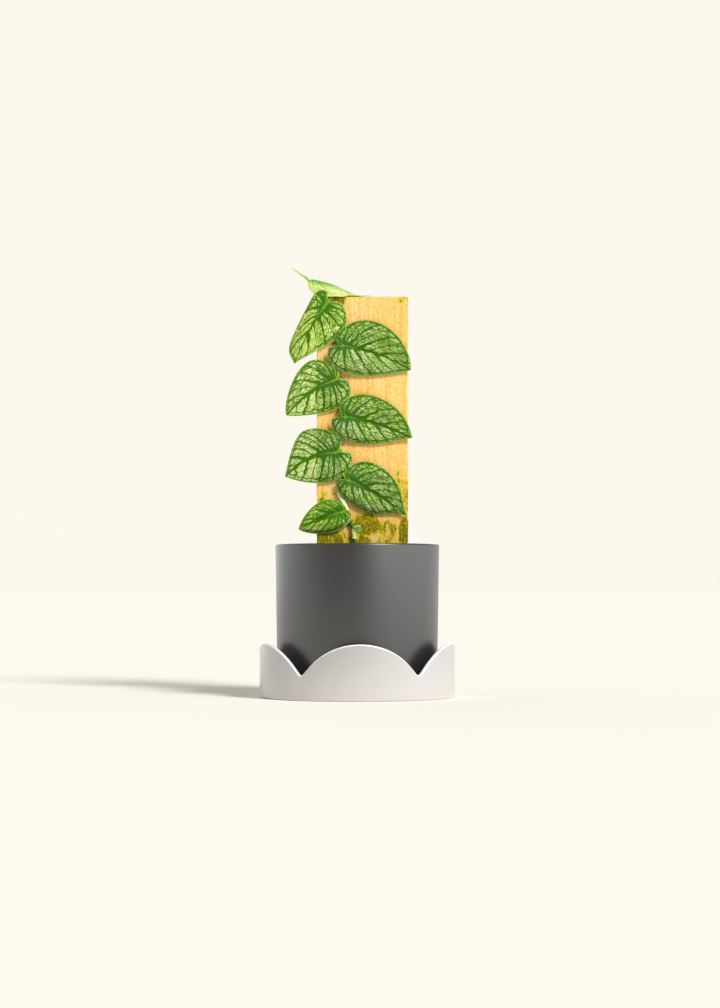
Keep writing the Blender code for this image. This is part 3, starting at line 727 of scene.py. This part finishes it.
# Painted light: a leaf's green and pale where light comes through it past the board.
LEAF_PAINTED_BACKLIT = linear(70, 126, 0)
LEAF_PAINTED_BACKLIT_PALE = linear(240, 255, 170)
LEAF_EDGE = linear(196, 230, 118)
LEAF_RIB = linear(112, 170, 52)
LEAF_FOOT = linear(132, 180, 20)
LEAF_MARGIN = linear(232, 238, 208)
LEAF_BACK = linear(150, 182, 112)
LEAF_BACK_VEIN = linear(112, 156, 78)
STALK_GREEN = linear(120, 168, 30)
STALK_PALE = linear(164, 208, 60)
LEAF_MARKS = {  # each leaf's own look, where it differs from the rest
    # light multiplies a leaf's colours; on leaf_1 it is painted light, making up for the shade the leaves
    # above cast on it. outer scales a leaf's painted light past the board.
    "leaf_1": {"white_margin": 1.0, "tip_spot": linear(226, 112, 66), "vein_width": 0.8, "dark_middle": 2.0,
               "light": (1.42, 1.42, 0.95), "outer": 0.65, "cover": 0.78},
    "leaf_2": {"dark_middle": 1.5},
    "leaf_3": {"dark_middle": 1.3},
    "leaf_4": {"dark_middle": 1.3},
    "leaf_5": {"dark_middle": 1.3, "light": (1.04, 1.04, 0.95)},
    "leaf_7": {"white_margin": 0.9, "light": (1.16, 1.18, 0.75)},
}


# One half of a leaf's outline, in millimetres from its stalk: how far the lobe reaches back, the
# greatest distance from the midrib, and where that is as a share of the leaf's length; the height of
# the lobe's end as a share of that width, the roundness of the lobe's shoulder, how far the widest
# stretch runs on towards the tip, and the drawn-in stretch before the tip, along the leaf and across.
Margin = namedtuple("Margin", "back width widest lobe shoulder flat tip")


# name, stalk, tip, upper margin, lower margin, bow of the midrib, node on the stem, fold, notch
LEAVES = (
    ("leaf_1", (-14.5, 178.8), (-56.8, 162.0),
     Margin(2.6, 17.0, 0.32, 0.30, 0.45, 0.48, (0.04, 0.24)),
     Margin(4.6, 15.2, 0.26, 0.55, 0.45, 0.48, (0.04, 0.28)), 1.5, (-12.6, 184.0), 0.25, 0.35),
    ("leaf_2", (-8.3, 209.2), (48.4, 175.0),
     Margin(5.6, 27.2, 0.29, 0.22, 0.70, 0.63, (0.16, 0.17)),
     Margin(8.7, 18.8, 0.19, 0.30, 0.58, 0.75, (0.40, 0.36)), 2.4, (-15.0, 218.2), 0.0, 0.35),
    ("leaf_3", (-21.1, 235.7), (-70.1, 213.1),
     Margin(10.4, 32.4, 0.36, 0.26, 0.35, 0.27, (0.22, 0.50)),
     Margin(13.3, 23.9, 0.21, 0.28, 0.70, 0.28, (0.22, 0.56)), 6.0, (-16.4, 243.5), 0.30, 0.35),
    ("leaf_4", (-11.6, 270.5), (53.2, 249.9),
     Margin(7.6, 27.7, 0.29, 0.34, 0.35, 0.57, (0.11, 0.49)),
     Margin(11.5, 21.8, 0.08, 0.28, 0.50, 0.44, (0.38, 0.58)), 2.9, (-16.2, 280.5), 0.0, 0.35),
    ("leaf_5", (-23.3, 304.7), (-68.8, 272.3),
     Margin(8.5, 29.9, 0.18, 0.28, 0.40, 0.46, (0.02, 0.24)),
     Margin(11.5, 23.9, 0.18, 0.28, 0.85, 0.20, (0.18, 0.42)), 4.5, (-18.4, 313.5), 0.30, 0.35),
    ("leaf_6", (-14.5, 339.0), (51.6, 315.1),
     Margin(8.0, 33.0, 0.34, 0.16, 0.47, 0.57, (0.03, 0.35)),
     Margin(11.2, 23.9, 0.11, 0.28, 0.69, 0.46, (0.14, 0.16)), 3.9, (-19.0, 348.5), 0.0, 0.35),
    ("leaf_7", (-31.9, 375.9), (-60.9, 322.6),
     Margin(14.8, 15.3, 0.06, 0.32, 1.00, 0.95, (0.17, 0.88)),
     Margin(11.2, 27.1, 0.14, 0.43, 0.40, 0.38, (0.10, 0.02)), 2.5, (-26.3, 384.0), 0.7, 0.12),
)


def bezier(a, b, c, d, t):
    s = 1 - t
    return Vector([s**3 * p + 3 * s * s * t * q + 3 * s * t * t * r + t**3 * w
                   for p, q, r, w in zip(a, b, c, d)])


def margin_point(margin, length, share):
    """A point of the margin, from the lobe's end at 0 to the leaf's tip at 1."""
    lobe = (-margin.back, margin.lobe * margin.width)
    wide = (margin.widest * length, margin.width)
    reach = wide[0] + margin.back
    along, across = margin.tip
    shoulder = (-margin.back, lobe[1] + margin.shoulder * (margin.width - lobe[1]))
    crown = (wide[0] - 0.55 * reach, margin.width)
    run_on = (wide[0] + margin.flat * (length - wide[0]), margin.width)
    drawn_in = (length * (1 - along), across * margin.width)
    turn = 0.36  # share of the margin taken by the lobe
    if share < turn:
        return bezier(lobe, shoulder, crown, wide, share / turn)
    return bezier(wide, run_on, drawn_in, (length, 0), (share - turn) / (1 - turn))


def vein_point(margin, length, notch, along, across):
    """A point of the blade, on the side vein at a share along the leaf and a share across its half."""
    crowd = 2.8 + 4 * max(0.0, 0.3 - margin.widest)  # how closely the veins leave beside the stalk
    root_at = Vector((length * along**crowd, 0))
    end = margin_point(margin, length, along)
    leave = root_at + 0.36 * (VEIN_TURN @ (end - root_at))
    arrive = end - 0.34 * (VEIN_TURN.transposed() @ (end - root_at))
    in_notch = (1 - along) ** 7
    notch_leave = Vector((-0.45 * margin.back, notch * 0.45 * margin.back))
    notch_arrive = Vector((-margin.back, 0.4 * margin.lobe * margin.width + 0.6 * notch * margin.back))
    leave = leave.lerp(notch_leave, in_notch)
    arrive = arrive.lerp(notch_arrive, in_notch)
    return bezier(root_at, leave, arrive, end, across)


def relief(along, across):
    """The blade's own relief: a sunk midrib, raised quilting between sunk side veins, a waved margin."""
    midrib = -RIB_SUNK * math.exp(-((across / 0.10) ** 2))
    quilt = QUILT_RISE * abs(math.sin(math.pi * VEINS * along)) ** 1.2
    quilt *= math.sin(math.pi * min(across, 1.0)) ** 0.6
    edge_vein = -EDGE_VEIN_SUNK * math.exp(-(((across - 0.88) / 0.04) ** 2))
    wave = MARGIN_WAVE * math.sin(math.tau * VEINS * along + 0.8) * across**4
    towards_tip = min(1.0, 2.2 * (1 - along))
    return (midrib + quilt + edge_vein + wave) * towards_tip


def grow_blade(bm, length, sides, bow, notch, height, veins, along_steps=ALONG_STEPS, half_steps=HALF_STEPS):
    """Bends a flat grid into the blade, from its stalk at the origin to its tip at +X, and thickens it.

    Each point keeps where it lies between the veins, for the leaf's colours."""
    layers = [bm.verts.layers.float.new(name) for name in ("vein", "reach", "gap", "span", "from_stalk")]
    grid = bmesh.ops.create_grid(bm, x_segments=along_steps, y_segments=2 * half_steps, size=1)["verts"]
    small = 0.004
    for vert in grid:
        along = min(1.0, max(0.0, (vert.co.x + 1) / 2))
        signed = vert.co.y
        across = min(1.0, abs(signed))
        side = 1 if signed >= 0 else -1
        spot = vein_point(sides[side], length, notch, along, across)
        beside = vein_point(sides[side], length, notch, abs(along - small), across)
        rib = vein_point(sides[side], length, notch, along, 0)
        edge = vein_point(sides[side], length, notch, along, 1)
        x, y = spot.x, spot.y * side
        if x > 0:
            y += 4 * bow * x / length * (1 - x / length) * (1 - across) ** 0.7
        for layer, value in zip(layers, (veins * along, signed, (spot - beside).length / small / veins,
                                         (edge - rib).length, spot.length)):
            vert[layer] = value
        vert.co = (x, y, height(x, y, along, across))
    bmesh.ops.remove_doubles(bm, verts=grid, dist=0.01)
    bmesh.ops.dissolve_degenerate(bm, edges=bm.edges, dist=0.01)
    bmesh.ops.recalc_face_normals(bm, faces=bm.faces)
    if sum(face.normal.z for face in bm.faces) < 0:
        bmesh.ops.reverse_faces(bm, faces=bm.faces)
    shell = bmesh.ops.solidify(bm, geom=bm.faces[:], thickness=BLADE_THICKNESS)["geom"]
    for part in shell:
        if isinstance(part, bmesh.types.BMFace):
            part.material_index = 1


def make_leaf_pattern():
    """Where a leaf is green and where it is silvery, worked out in millimetres from its veins."""
    inputs = ("Vein", "Reach", "Gap", "Span", "Vein Width", "Dark Middle", "Seed")
    group, nodes, given, result = new_group("leaf_pattern", inputs, ("Pale", "Rim", "Edge", "Rib", "Relief"))
    place = nodes.place()
    wobble = nodes.minus(nodes.noise(place, 170.0, 2.0), 0.5)
    phase = nodes.plus(given["Vein"], nodes.times(wobble, 0.34))
    reach = nodes.math("ABSOLUTE", given["Reach"])
    from_rib = nodes.times(reach, given["Span"])
    side_edge = nodes.times(nodes.minus(1.0, reach), given["Span"])
    notch_edge = nodes.times(given["Vein"], given["Gap"])
    from_edge = nodes.math("SMOOTH_MIN", side_edge, notch_edge, 1.0)
    ragged = nodes.times(nodes.minus(nodes.noise(place, 620.0, 3.0, 0.65), 0.5), 2.0)
    half_seed = nodes.plus(nodes.math("SIGN", given["Reach"]), given["Seed"])

    def from_veins(shift):
        """How far a place is from the nearest vein, with all the veins moved by this share of a gap."""
        off = nodes.minus(nodes.math("FRACT", nodes.plus(phase, shift + 0.5)), 0.5)
        return nodes.times(nodes.math("ABSOLUTE", off), given["Gap"])

    def clear_of(off, half_width, rough, faint=0.0):
        """Goes from faint, on a line, to 1 beside it."""
        off = nodes.plus(nodes.minus(off, half_width), nodes.times(ragged, rough))
        return nodes.between(off, -0.15, 0.35, faint, 1.0)

    flare = nodes.between(from_rib, 0.0, 18.0, 1.2, 0.0)
    wide = nodes.times(nodes.plus(flare, 0.85), given["Vein Width"])
    thin = nodes.times(nodes.plus(nodes.times(flare, 0.35), 0.45), given["Vein Width"])
    main_veins = clear_of(from_veins(0.0), wide, 0.5)
    half_veins = clear_of(from_veins(0.5), thin, 0.4)

    rib_width = nodes.times(nodes.between(given["Vein"], 0.8, 5.0, 3.6, 1.2), given["Dark Middle"])
    flame_place = nodes.vector(nodes.times(phase, 5.0), nodes.times(from_rib, 0.06), half_seed)
    flames = nodes.minus(nodes.noise(flame_place, 1.0, 2.0), 0.5)
    flames = nodes.times(flames, nodes.between(given["Vein"], 0.8, 4.5, 11.0, 5.0))
    beside_rib = nodes.plus(nodes.minus(from_rib, rib_width), flames)
    beside_rib = nodes.between(nodes.plus(beside_rib, nodes.times(ragged, 1.2)), -0.6, 1.0)

    arch = nodes.math("ABSOLUTE", nodes.math("SINE", nodes.times(phase, math.tau)))
    from_ring = nodes.minus(from_edge, nodes.minus(4.3, nodes.times(arch, 1.5)))
    ring = clear_of(nodes.math("ABSOLUTE", from_ring), 0.45, 0.4)
    outside = nodes.between(from_ring, -0.3, 0.3, 0.75, 1.0)
    halfway = nodes.noise(nodes.vector(nodes.times(phase, 1.6), half_seed, 0.0), 1.0, 1.0)
    from_halfway = nodes.times(nodes.minus(nodes.plus(reach, 0.05), halfway), given["Span"])
    cross_vein = clear_of(nodes.math("ABSOLUTE", from_halfway), 0.3, 0.8, 0.3)
    band = nodes.between(nodes.plus(from_edge, nodes.times(ragged, 0.3)), 0.7, 1.3)

    net_place = nodes.vector(nodes.times(phase, 3.4), nodes.times(from_rib, 0.24), half_seed)
    cell = {"Vector": net_place, "Scale": 1.0, "Randomness": 0.85}
    net = nodes.add("TexVoronoi", cell, feature="DISTANCE_TO_EDGE")
    net = nodes.between(nodes.plus(net, nodes.times(ragged, 0.06)), 0.03, 0.12, 0.3, 1.0)
    cell_colour = nodes.add("TexVoronoi", cell, feature="F1").node.outputs["Color"]
    cell_tone = nodes.between(nodes.add("SeparateColor", {0: cell_colour}), 0.0, 0.7, 0.75, 1.0)
    fine_place = nodes.vector(nodes.times(phase, 9.0), nodes.times(from_rib, 0.7), half_seed)
    mottle = nodes.between(nodes.noise(fine_place, 1.0, 3.0, 0.75), 0.38, 0.56, 0.36, 1.0)

    pale = main_veins
    for clear in (half_veins, beside_rib, ring, cross_vein, outside, band, net, cell_tone, mottle):
        pale = nodes.times(pale, clear)
    raised = nodes.times(nodes.math("MINIMUM", main_veins, half_veins), nodes.math("MINIMUM", net, ring))
    nodes.put(result, {
        "Pale": pale,
        "Rim": nodes.between(from_edge, 1.5, 0.7),
        "Edge": nodes.between(from_edge, 0.5, 0.15),
        "Rib": nodes.between(from_rib, 0.7, 0.25),
        "Relief": nodes.plus(raised, nodes.times(mottle, 0.3)),
    })
    return group


leaf_pattern = make_leaf_pattern()


def pattern_on(nodes, vein_width, dark_middle, seed):
    """What each point of a blade keeps of its veins, and the pattern that follows from it."""
    facts = {title: nodes.attribute(title.lower()) for title in ("Vein", "Reach", "Gap", "Span")}
    given = {"Vein Width": vein_width, "Dark Middle": dark_middle, "Seed": seed}
    return facts, nodes.group(leaf_pattern, {**facts, **given})


def leaf_material(name, seed, lower_side, white_margin=0.2, tip_spot=None, vein_width=1.0, dark_middle=1.0,
                  light=(1.0, 1.0, 1.0), outer=1.0, cover=0.95):
    """Green along the veins and silvery between them. Beyond the board it is painted brighter, for the light
    that comes through it.
    """
    nodes = new_material(name)
    facts, pattern = pattern_on(nodes, vein_width, dark_middle, seed)
    stalk = nodes.attribute("from_stalk")
    towards_lower = nodes.times(facts["Reach"], lower_side)
    x = nodes.along("X")
    # Painted light: past the board's edges the colours turn lighter and yellower, for light coming through
    # the leaf.
    painted_backlight = nodes.plus(nodes.between(x, *PAST_LEFT), nodes.between(x, *PAST_RIGHT))
    painted_backlight = nodes.times(painted_backlight, outer)

    green = nodes.mix(nodes.between(stalk, 22.0, 8.0), LEAF_DARK, LEAF_DEEP)
    green = nodes.mix(nodes.times(painted_backlight, 0.8), green, LEAF_PAINTED_BACKLIT)
    tint = nodes.noise(nodes.place(), 60.0, 2.0)
    pale = nodes.mix(nodes.between(tint, 0.35, 0.65), LEAF_PALE, LEAF_SILVER)
    pale = nodes.over(pale, towards_lower, 0.3, -0.7, 0.4, LEAF_UPPER)
    pale = nodes.mix(nodes.times(painted_backlight, 0.9), pale, LEAF_PAINTED_BACKLIT_PALE)
    sparse = nodes.minus(nodes.between(towards_lower, -0.7, 0.3, 1.8, 1.0), nodes.times(painted_backlight, 0.5))
    silvery = nodes.math("POWER", pattern["Pale"], sparse)
    colour = nodes.mix(nodes.times(silvery, cover), green, pale)

    rib = nodes.times(pattern["Rib"], nodes.between(stalk, 3.0, 20.0, 0.75, 0.0))
    colour = nodes.mix(rib, colour, LEAF_RIB)
    colour = nodes.mix(nodes.times(pattern["Rim"], 0.7), colour, LEAF_RIM)
    colour = nodes.mix(nodes.times(pattern["Edge"], 0.6), colour, LEAF_EDGE)
    lower_edge = nodes.times(nodes.between(towards_lower, 0.5, 0.8, 0.0, white_margin), pattern["Edge"])
    colour = nodes.mix(lower_edge, colour, LEAF_MARGIN)
    colour = nodes.over(colour, stalk, 2.4, 0.5, 0.8, LEAF_FOOT)
    # Lightens the leaf as a whole; on leaf_1 this is painted light against the shade of the leaves above.
    colour = nodes.mix(1.0, colour, (*light, 1), "MULTIPLY")
    if tip_spot:
        colour = nodes.over(colour, facts["Vein"], 0.942 * VEINS, 0.967 * VEINS, 1.0, tip_spot)
    return finish_living(nodes, colour, 0.42, pattern["Relief"], 0.5, 0.0005)


def leaf_back_material():
    nodes = new_material("leaf_back")
    _, pattern = pattern_on(nodes, 0.6, 0.6, 4.0)
    colour = nodes.mix(pattern["Pale"], LEAF_BACK_VEIN, LEAF_BACK)
    colour = nodes.mix(pattern["Edge"], colour, LEAF_EDGE)
    return finish_living(nodes, colour, 0.6, pattern["Relief"], -0.4, 0.0004)


def stalk_material():
    nodes = new_material("leaf_stalk")
    streak = nodes.noise(nodes.place(z=0.2), 900.0, 3.0)
    return finish_living(nodes, nodes.mix(streak, STALK_GREEN, STALK_PALE), 0.4)


leaf_back = leaf_back_material()
leaf_stalk = stalk_material()


def add_stalk(bm, path, sides=12):
    before = set(bm.faces)
    grow_tube(bm, smooth_path(path, 5), sides)
    for face in set(bm.faces) - before:
        face.material_index = 2


def blade_place(forward, x, off, z):
    """Puts a blade's stalk this far off the board, with its tip forward and its face to the front."""
    outward = Vector((0, -1, 0))
    place = Matrix((forward, outward.cross(forward), outward)).transposed().to_4x4()
    place.translation = (x, BOARD_FRONT - off, z)
    return place


def make_leaf(name, stalk, tip, upper, lower, bow, node, fold, notch, seed):
    run = Vector((tip[0] - stalk[0], 0, tip[1] - stalk[1]))
    place = blade_place(run.normalized(), stalk[0], BLADE_OFF_BOARD, stalk[1])
    upper_side = 1 if run.x > 0 else -1
    board_edge = BOARD_MIDDLE - BOARD_WIDTH / 2 + 1.0

    def height(x, y, along, across):
        dome = DOME_RISE * math.sin(0.8 * math.pi * across) - DOME_FALL * across**3
        dome *= min(1.0, 1.8 * (1 - along))
        near, further = LOWER_CURL if y * upper_side < 0 else UPPER_CURL
        curl = (near + further * smooth_step(along, 0.15, 0.5)) * across**3 * min(1.0, 2.5 * (1 - along))
        curl += TIP_CURL * smooth_step(along, 0.5, 1.0)
        past_edge = max(0.0, board_edge - (place @ Vector((x, y, 0))).x)
        folded = fold * past_edge**2 / (past_edge + 5.0)
        return dome - curl - BLADE_TILT * upper_side * y + relief(along, across) - folded

    bm = bmesh.new()
    sides = {upper_side: upper, -upper_side: lower}
    grow_blade(bm, run.length, sides, bow * upper_side, notch, height, VEINS)
    beside_stem = BOARD_FRONT - STEM_OFF_BOARD - STEM_RADIUS - STALK_RADIUS - 1.5 * GAP
    start = place.inverted() @ Vector((node[0], beside_stem, node[1]))
    add_stalk(bm, [(*start, STALK_RADIUS), (-3.5, 0, -1.6, 0.9 * STALK_RADIUS),
                   (1.6, 0, -1.5, 0.5 * STALK_RADIUS)])
    bmesh.ops.transform(bm, matrix=place, verts=bm.verts)
    green = leaf_material(name + "_green", seed, -upper_side, **LEAF_MARKS.get(name, {}))
    made = finish_mesh(bm, name + "_blade", green, leaf_back, leaf_stalk, sharp=60)
    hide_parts(name)


for number, leaf in enumerate(LEAVES):
    make_leaf(*leaf, seed=2.7 * number)


# The top leaf is the youngest open one, thin and still almost white between its veins. It arches back
# over the board's top edge and rests on it by its margins.
TOP_STALK = (-43.7, 14.0)
TOP_LENGTH = 57.5
TOP_RISE = 16.5
TOP_REST = 388.4
TOP_FALL = 9.7  # how far from the ridge the blade has come down, near its base
TOP_FRONT = Margin(4.0, 11.5, 0.30, 0.45, 0.6, 0.45, (0.25, 0.16))
TOP_BACK = Margin(4.0, 11.0, 0.30, 0.45, 0.6, 0.45, (0.25, 0.16))
YOUNG_VEIN = linear(88, 148, 10)
YOUNG_VEIN_END = linear(180, 204, 92)
YOUNG_PALE = linear(230, 238, 180)
# The young leaf's pale margin, painted paler still where it lies in shade.
YOUNG_EDGE_AND_PAINTED_LIGHT = linear(222, 236, 160)
YOUNG_RIDGE = linear(104, 166, 28)


def young_material():
    nodes = new_material("young_leaf")
    facts, pattern = pattern_on(nodes, 0.55, 0.4, 31.0)
    reach = nodes.math("ABSOLUTE", facts["Reach"])
    green = nodes.mix(nodes.between(reach, 0.1, 0.7), YOUNG_VEIN, YOUNG_VEIN_END)
    colour = nodes.mix(nodes.math("POWER", pattern["Pale"], 0.75), green, YOUNG_PALE)
    # A pale margin, painted paler still to light it where it lies in shade.
    colour = nodes.over(colour, reach, 0.92, 1.0, 1.0, YOUNG_EDGE_AND_PAINTED_LIGHT)
    colour = nodes.over(colour, reach, 0.5, 0.08, 0.9, YOUNG_RIDGE)
    return finish_living(nodes, colour, 0.45, pattern["Relief"], 0.3, 0.0003)


def make_top_leaf():
    def off_ridge(value, rounding):
        return math.sqrt(value**2 + rounding**2) - rounding

    def height(x, y, along, across):
        share = max(0.0, x) / (0.74 * TOP_LENGTH)
        arch = TOP_RISE * (1 - 0.35 * share - 0.65 * share**2)
        rise = 0.5 * (arch + math.sqrt(arch**2 + 1.4))  # the arch, but never below the board's top
        near_base = off_ridge(y, 2.0) / TOP_FALL
        near_tip = off_ridge(across, 0.2) / 0.82
        fall = near_base + (near_tip - near_base) * smooth_step(x, 8.0, 26.0)
        past_board = 0.55 * max(0.0, -y - 7.5)
        settled = 0.4 * smooth_step(x, 20.0, 30.0) - 1.05 * smooth_step(x, 30.0, 44.0)
        return rise * (1 - 0.95 * fall) + 0.5 * relief(along, across) - past_board - settled

    bm = bmesh.new()
    grow_blade(bm, TOP_LENGTH, {1: TOP_BACK, -1: TOP_FRONT}, 0.0, 1.1, height, VEINS, 96, 30)
    add_stalk(bm, [(0.2, 0, TOP_RISE - 4, 0.9), (0.8, 0, TOP_RISE - 2.2, 0.9), (2, 0, TOP_RISE - 1, 0.8)])
    bmesh.ops.translate(bm, vec=(*TOP_STALK, TOP_REST), verts=bm.verts)
    young = young_material()
    return finish_mesh(bm, "top_leaf", young, young, leaf_stalk, sharp=60)


top_leaf = make_top_leaf()
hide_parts("leaf_8")


# The newest leaf is still rolled up in a thin spear, green at its foot and yellow at its point. It
# stands on the stem's end beside the top leaf, and fine furrows run along it.
ROLLED_ROUTE = (
    (-46, 14, 397.8, 0.9), (-46.3, 13.9, 402.2, 1.15), (-49.6, 13.4, 406.2, 0.95), (-57, 12.4, 411, 0.75),
    (-64.6, 11.4, 416.4, 0.35),
)
ROLLED_GREENS = (-0.062, -0.048)  # metres across, from its point to its green foot
ROLLED_POINT = linear(206, 218, 120)
ROLLED_GREEN = linear(150, 190, 20)
ROLLED_FURROW = linear(96, 140, 20)


def rolled_material():
    nodes = new_material("rolled_leaf_skin")
    colour = nodes.mix(nodes.between(nodes.along("X"), *ROLLED_GREENS), ROLLED_POINT, ROLLED_GREEN)
    furrow = nodes.noise(nodes.place(x=0.2, z=0.3), 1600.0)
    colour = nodes.over(colour, furrow, 0.5, 0.7, 0.3, ROLLED_FURROW)
    return finish_living(nodes, colour, 0.4, furrow, 0.3, 0.0002)


rolled_spear = make_tube("rolled_spear", smooth_path(ROLLED_ROUTE, 10), 14, rolled_material())
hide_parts("rolled_leaf")


# A small round leaf grows low on the board, on a short stalk of its own beside the cut sheath. Pale
# flecks mottle it, but for its green rib, and its edge is paler still.
SPROUT_STALK = (-2.9, 5.6, 161.8)  # across the board, off its face and up
SPROUT_LENGTH = 6.8
SPROUT_VEINS = 3
SPROUT_MARGIN = Margin(0.9, 3.2, 0.45, 0.4, 0.7, 0.45, (0.0, 0.8))
SPROUT_GREEN = linear(84, 144, 36)
SPROUT_PALE = linear(176, 214, 116)
SPROUT_RIB = linear(92, 146, 40)
SPROUT_EDGE = linear(228, 242, 180)


def sprout_material():
    nodes = new_material("sprout_green")
    mottle = nodes.noise(nodes.place(), 900.0, 3.0, 0.6)
    reach = nodes.math("ABSOLUTE", nodes.attribute("reach"))
    colour = nodes.mix(nodes.between(mottle, 0.46, 0.64), SPROUT_GREEN, SPROUT_PALE)
    colour = nodes.over(colour, reach, 0.2, 0.05, 1.0, SPROUT_RIB)
    colour = nodes.over(colour, reach, 0.8, 0.95, 1.0, SPROUT_EDGE)
    return finish_living(nodes, colour, 0.42)


def make_sprout():
    def height(x, y, along, across):
        return 0.5 * math.sin(math.pi * across) - 0.04 * x

    bm = bmesh.new()
    sides = {1: SPROUT_MARGIN, -1: SPROUT_MARGIN}
    grow_blade(bm, SPROUT_LENGTH, sides, 0.0, 1.1, height, SPROUT_VEINS, 16, 6)
    add_stalk(bm, [(-0.9, 0, -1.1, 0.5), (0.2, 0, -0.5, 0.5), (1.2, 0, -0.3, 0.5)], 8)
    place = blade_place(Vector((1, 0, 0.2)).normalized(), *SPROUT_STALK)
    bmesh.ops.transform(bm, matrix=place, verts=bm.verts)
    return finish_mesh(bm, "sprout", sprout_material(), leaf_back, leaf_stalk, sharp=60)


sprout = make_sprout()
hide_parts("sprout_leaf")


# The moss grows in small tufts out of the green film on the board's foot and along its edges. Each
# tuft is a small cone that leans out from the wood.
TUFTS = 5200
TUFTS_TOP = 200
MOSS = linear(216, 200, 44)
MOSS_DARK = linear(128, 128, 4)


def moss_material():
    nodes = new_material("moss_tuft")
    patch = nodes.noise(nodes.place(z=0.5), 620.0, 4.0, 0.8)
    return nodes.finish(Base_Color=nodes.mix(nodes.between(patch, 0.42, 0.62), MOSS_DARK, MOSS),
                        Roughness=0.9, Specular_IOR_Level=0.05)


def add_tuft(bm, number):
    x = BOARD_MIDDLE + random.uniform(-0.5, 0.5) * (BOARD_WIDTH - 1.5)
    z = random.uniform(SOIL_TOP, TUFTS_TOP)
    if random.random() > algae_cover(x, z) ** 3:
        return
    size = random.uniform(0.25, 0.6)
    shape = Matrix.Diagonal((size, size * 0.6, size * random.uniform(1.6, 3.2), 1))
    aside = Matrix.Rotation(random.uniform(-0.7, 0.7), 4, "Y")
    forward = Matrix.Rotation(random.uniform(0.0, 0.5), 4, "X")
    place = Matrix.Translation((x, BOARD_FRONT - 0.1, z)) @ aside @ forward @ shape
    bmesh.ops.create_cone(bm, cap_ends=True, segments=5, radius1=1, radius2=0.35, depth=1.2, matrix=place)


moss = finish_mesh(scatter(TUFTS, add_tuft), "moss", moss_material(), sharp=20)


# The studio: a pale cream floor and backdrop, and one high light in front on the right. Low pale walls
# stand all round, bright on the right and at the back and dim on the camera's side, under a weaker
# sky. Azimuths go round from 0 at the camera's side, with the right at 90 degrees.
CREAM = linear(252, 248, 237)
WHITE = (1, 1, 1, 1)
FLOOR_REACH = 40  # metres
SKY = 0.3
SKY_SLOPE = 0.2  # how much brighter than that the sky is on the left, and darker on the right
WALLS = (  # azimuth, brightness
    (-150, 1.8), (-122, 1.4), (-93, 1.2), (-64, 0.6), (-40, 0.15), (-15, 0.1),
    (5, 0.15), (30, 0.9), (54, 1.75), (85, 1.9), (115, 1.35), (156, 1.1),
)
WALL_BEHIND = 1.5
WALLS_ON_FLOOR = 0.12  # what the walls add to the light that the floor gets from the sky
KEY_AZIMUTH = math.radians(39)
KEY_ELEVATION = math.radians(37)
KEY_SPREAD = math.radians(18)
KEY_POWER = 2.7


def add_key_light():
    """A far, soft light. Gives back how brightly it lights the floor."""
    light = bpy.data.lights.new("key", "SUN")
    light.energy = KEY_POWER
    light.angle = KEY_SPREAD
    out = math.cos(KEY_ELEVATION)
    towards = Vector((math.sin(KEY_AZIMUTH) * out, -math.cos(KEY_AZIMUTH) * out, math.sin(KEY_ELEVATION)))
    add_object("key", light).rotation_euler = towards.to_track_quat("Z", "Y").to_euler()
    return KEY_POWER * math.sin(KEY_ELEVATION) / math.pi


def make_floor(light):
    """A floor whose colour, under the open light that falls on it, is the backdrop's."""
    bm = bmesh.new()
    bmesh.ops.create_grid(bm, x_segments=1, y_segments=1, size=FLOOR_REACH)
    mesh = mesh_of(bm, "studio_floor")
    colour = (*[part / light for part in CREAM[:3]], 1.0)
    nodes = new_material("cream_floor")
    mesh.materials.append(nodes.finish(Base_Color=colour, Roughness=1.0, Specular_IOR_Level=0.0))
    floor = add_object("studio_floor", mesh)


def make_world():
    world = bpy.data.worlds.new("studio")
    world.use_nodes = True
    bpy.context.scene.world = world
    nodes = Nodes(world.node_tree)
    seen = nodes.add("LightPath", {}).node.outputs["Is Camera Ray"]
    heading = nodes.add("TexCoord", {}).node.outputs["Generated"]
    to_right, to_back, up = nodes.add("SeparateXYZ", {0: heading}).node.outputs
    azimuth = nodes.math("ARCTAN2", to_right, nodes.times(to_back, -1.0))
    walls = nodes.add("ValToRGB", {0: nodes.plus(nodes.math("DIVIDE", azimuth, math.tau), 0.5)})
    ramp = walls.node.color_ramp
    for wall_azimuth, brightness in WALLS:
        ramp.elements.new(wall_azimuth / 360 + 0.5).color = (brightness, brightness, brightness, 1)
    for end in (ramp.elements[0], ramp.elements[-1]):
        end.color = (WALL_BEHIND, WALL_BEHIND, WALL_BEHIND, 1)
    sky = nodes.between(to_right, -0.7, 0.7, SKY + SKY_SLOPE, SKY - SKY_SLOPE)
    light = nodes.mix(nodes.between(up, 0.3, 0.5), walls, sky)
    nodes.put(world.node_tree.nodes["Background"], {"Color": nodes.mix(seen, WHITE, CREAM),
                                                    "Strength": nodes.mix(seen, light, WHITE)})


make_world()
make_floor(SKY + WALLS_ON_FLOOR + add_key_light())
bpy.context.scene.view_settings.view_transform = "Standard"
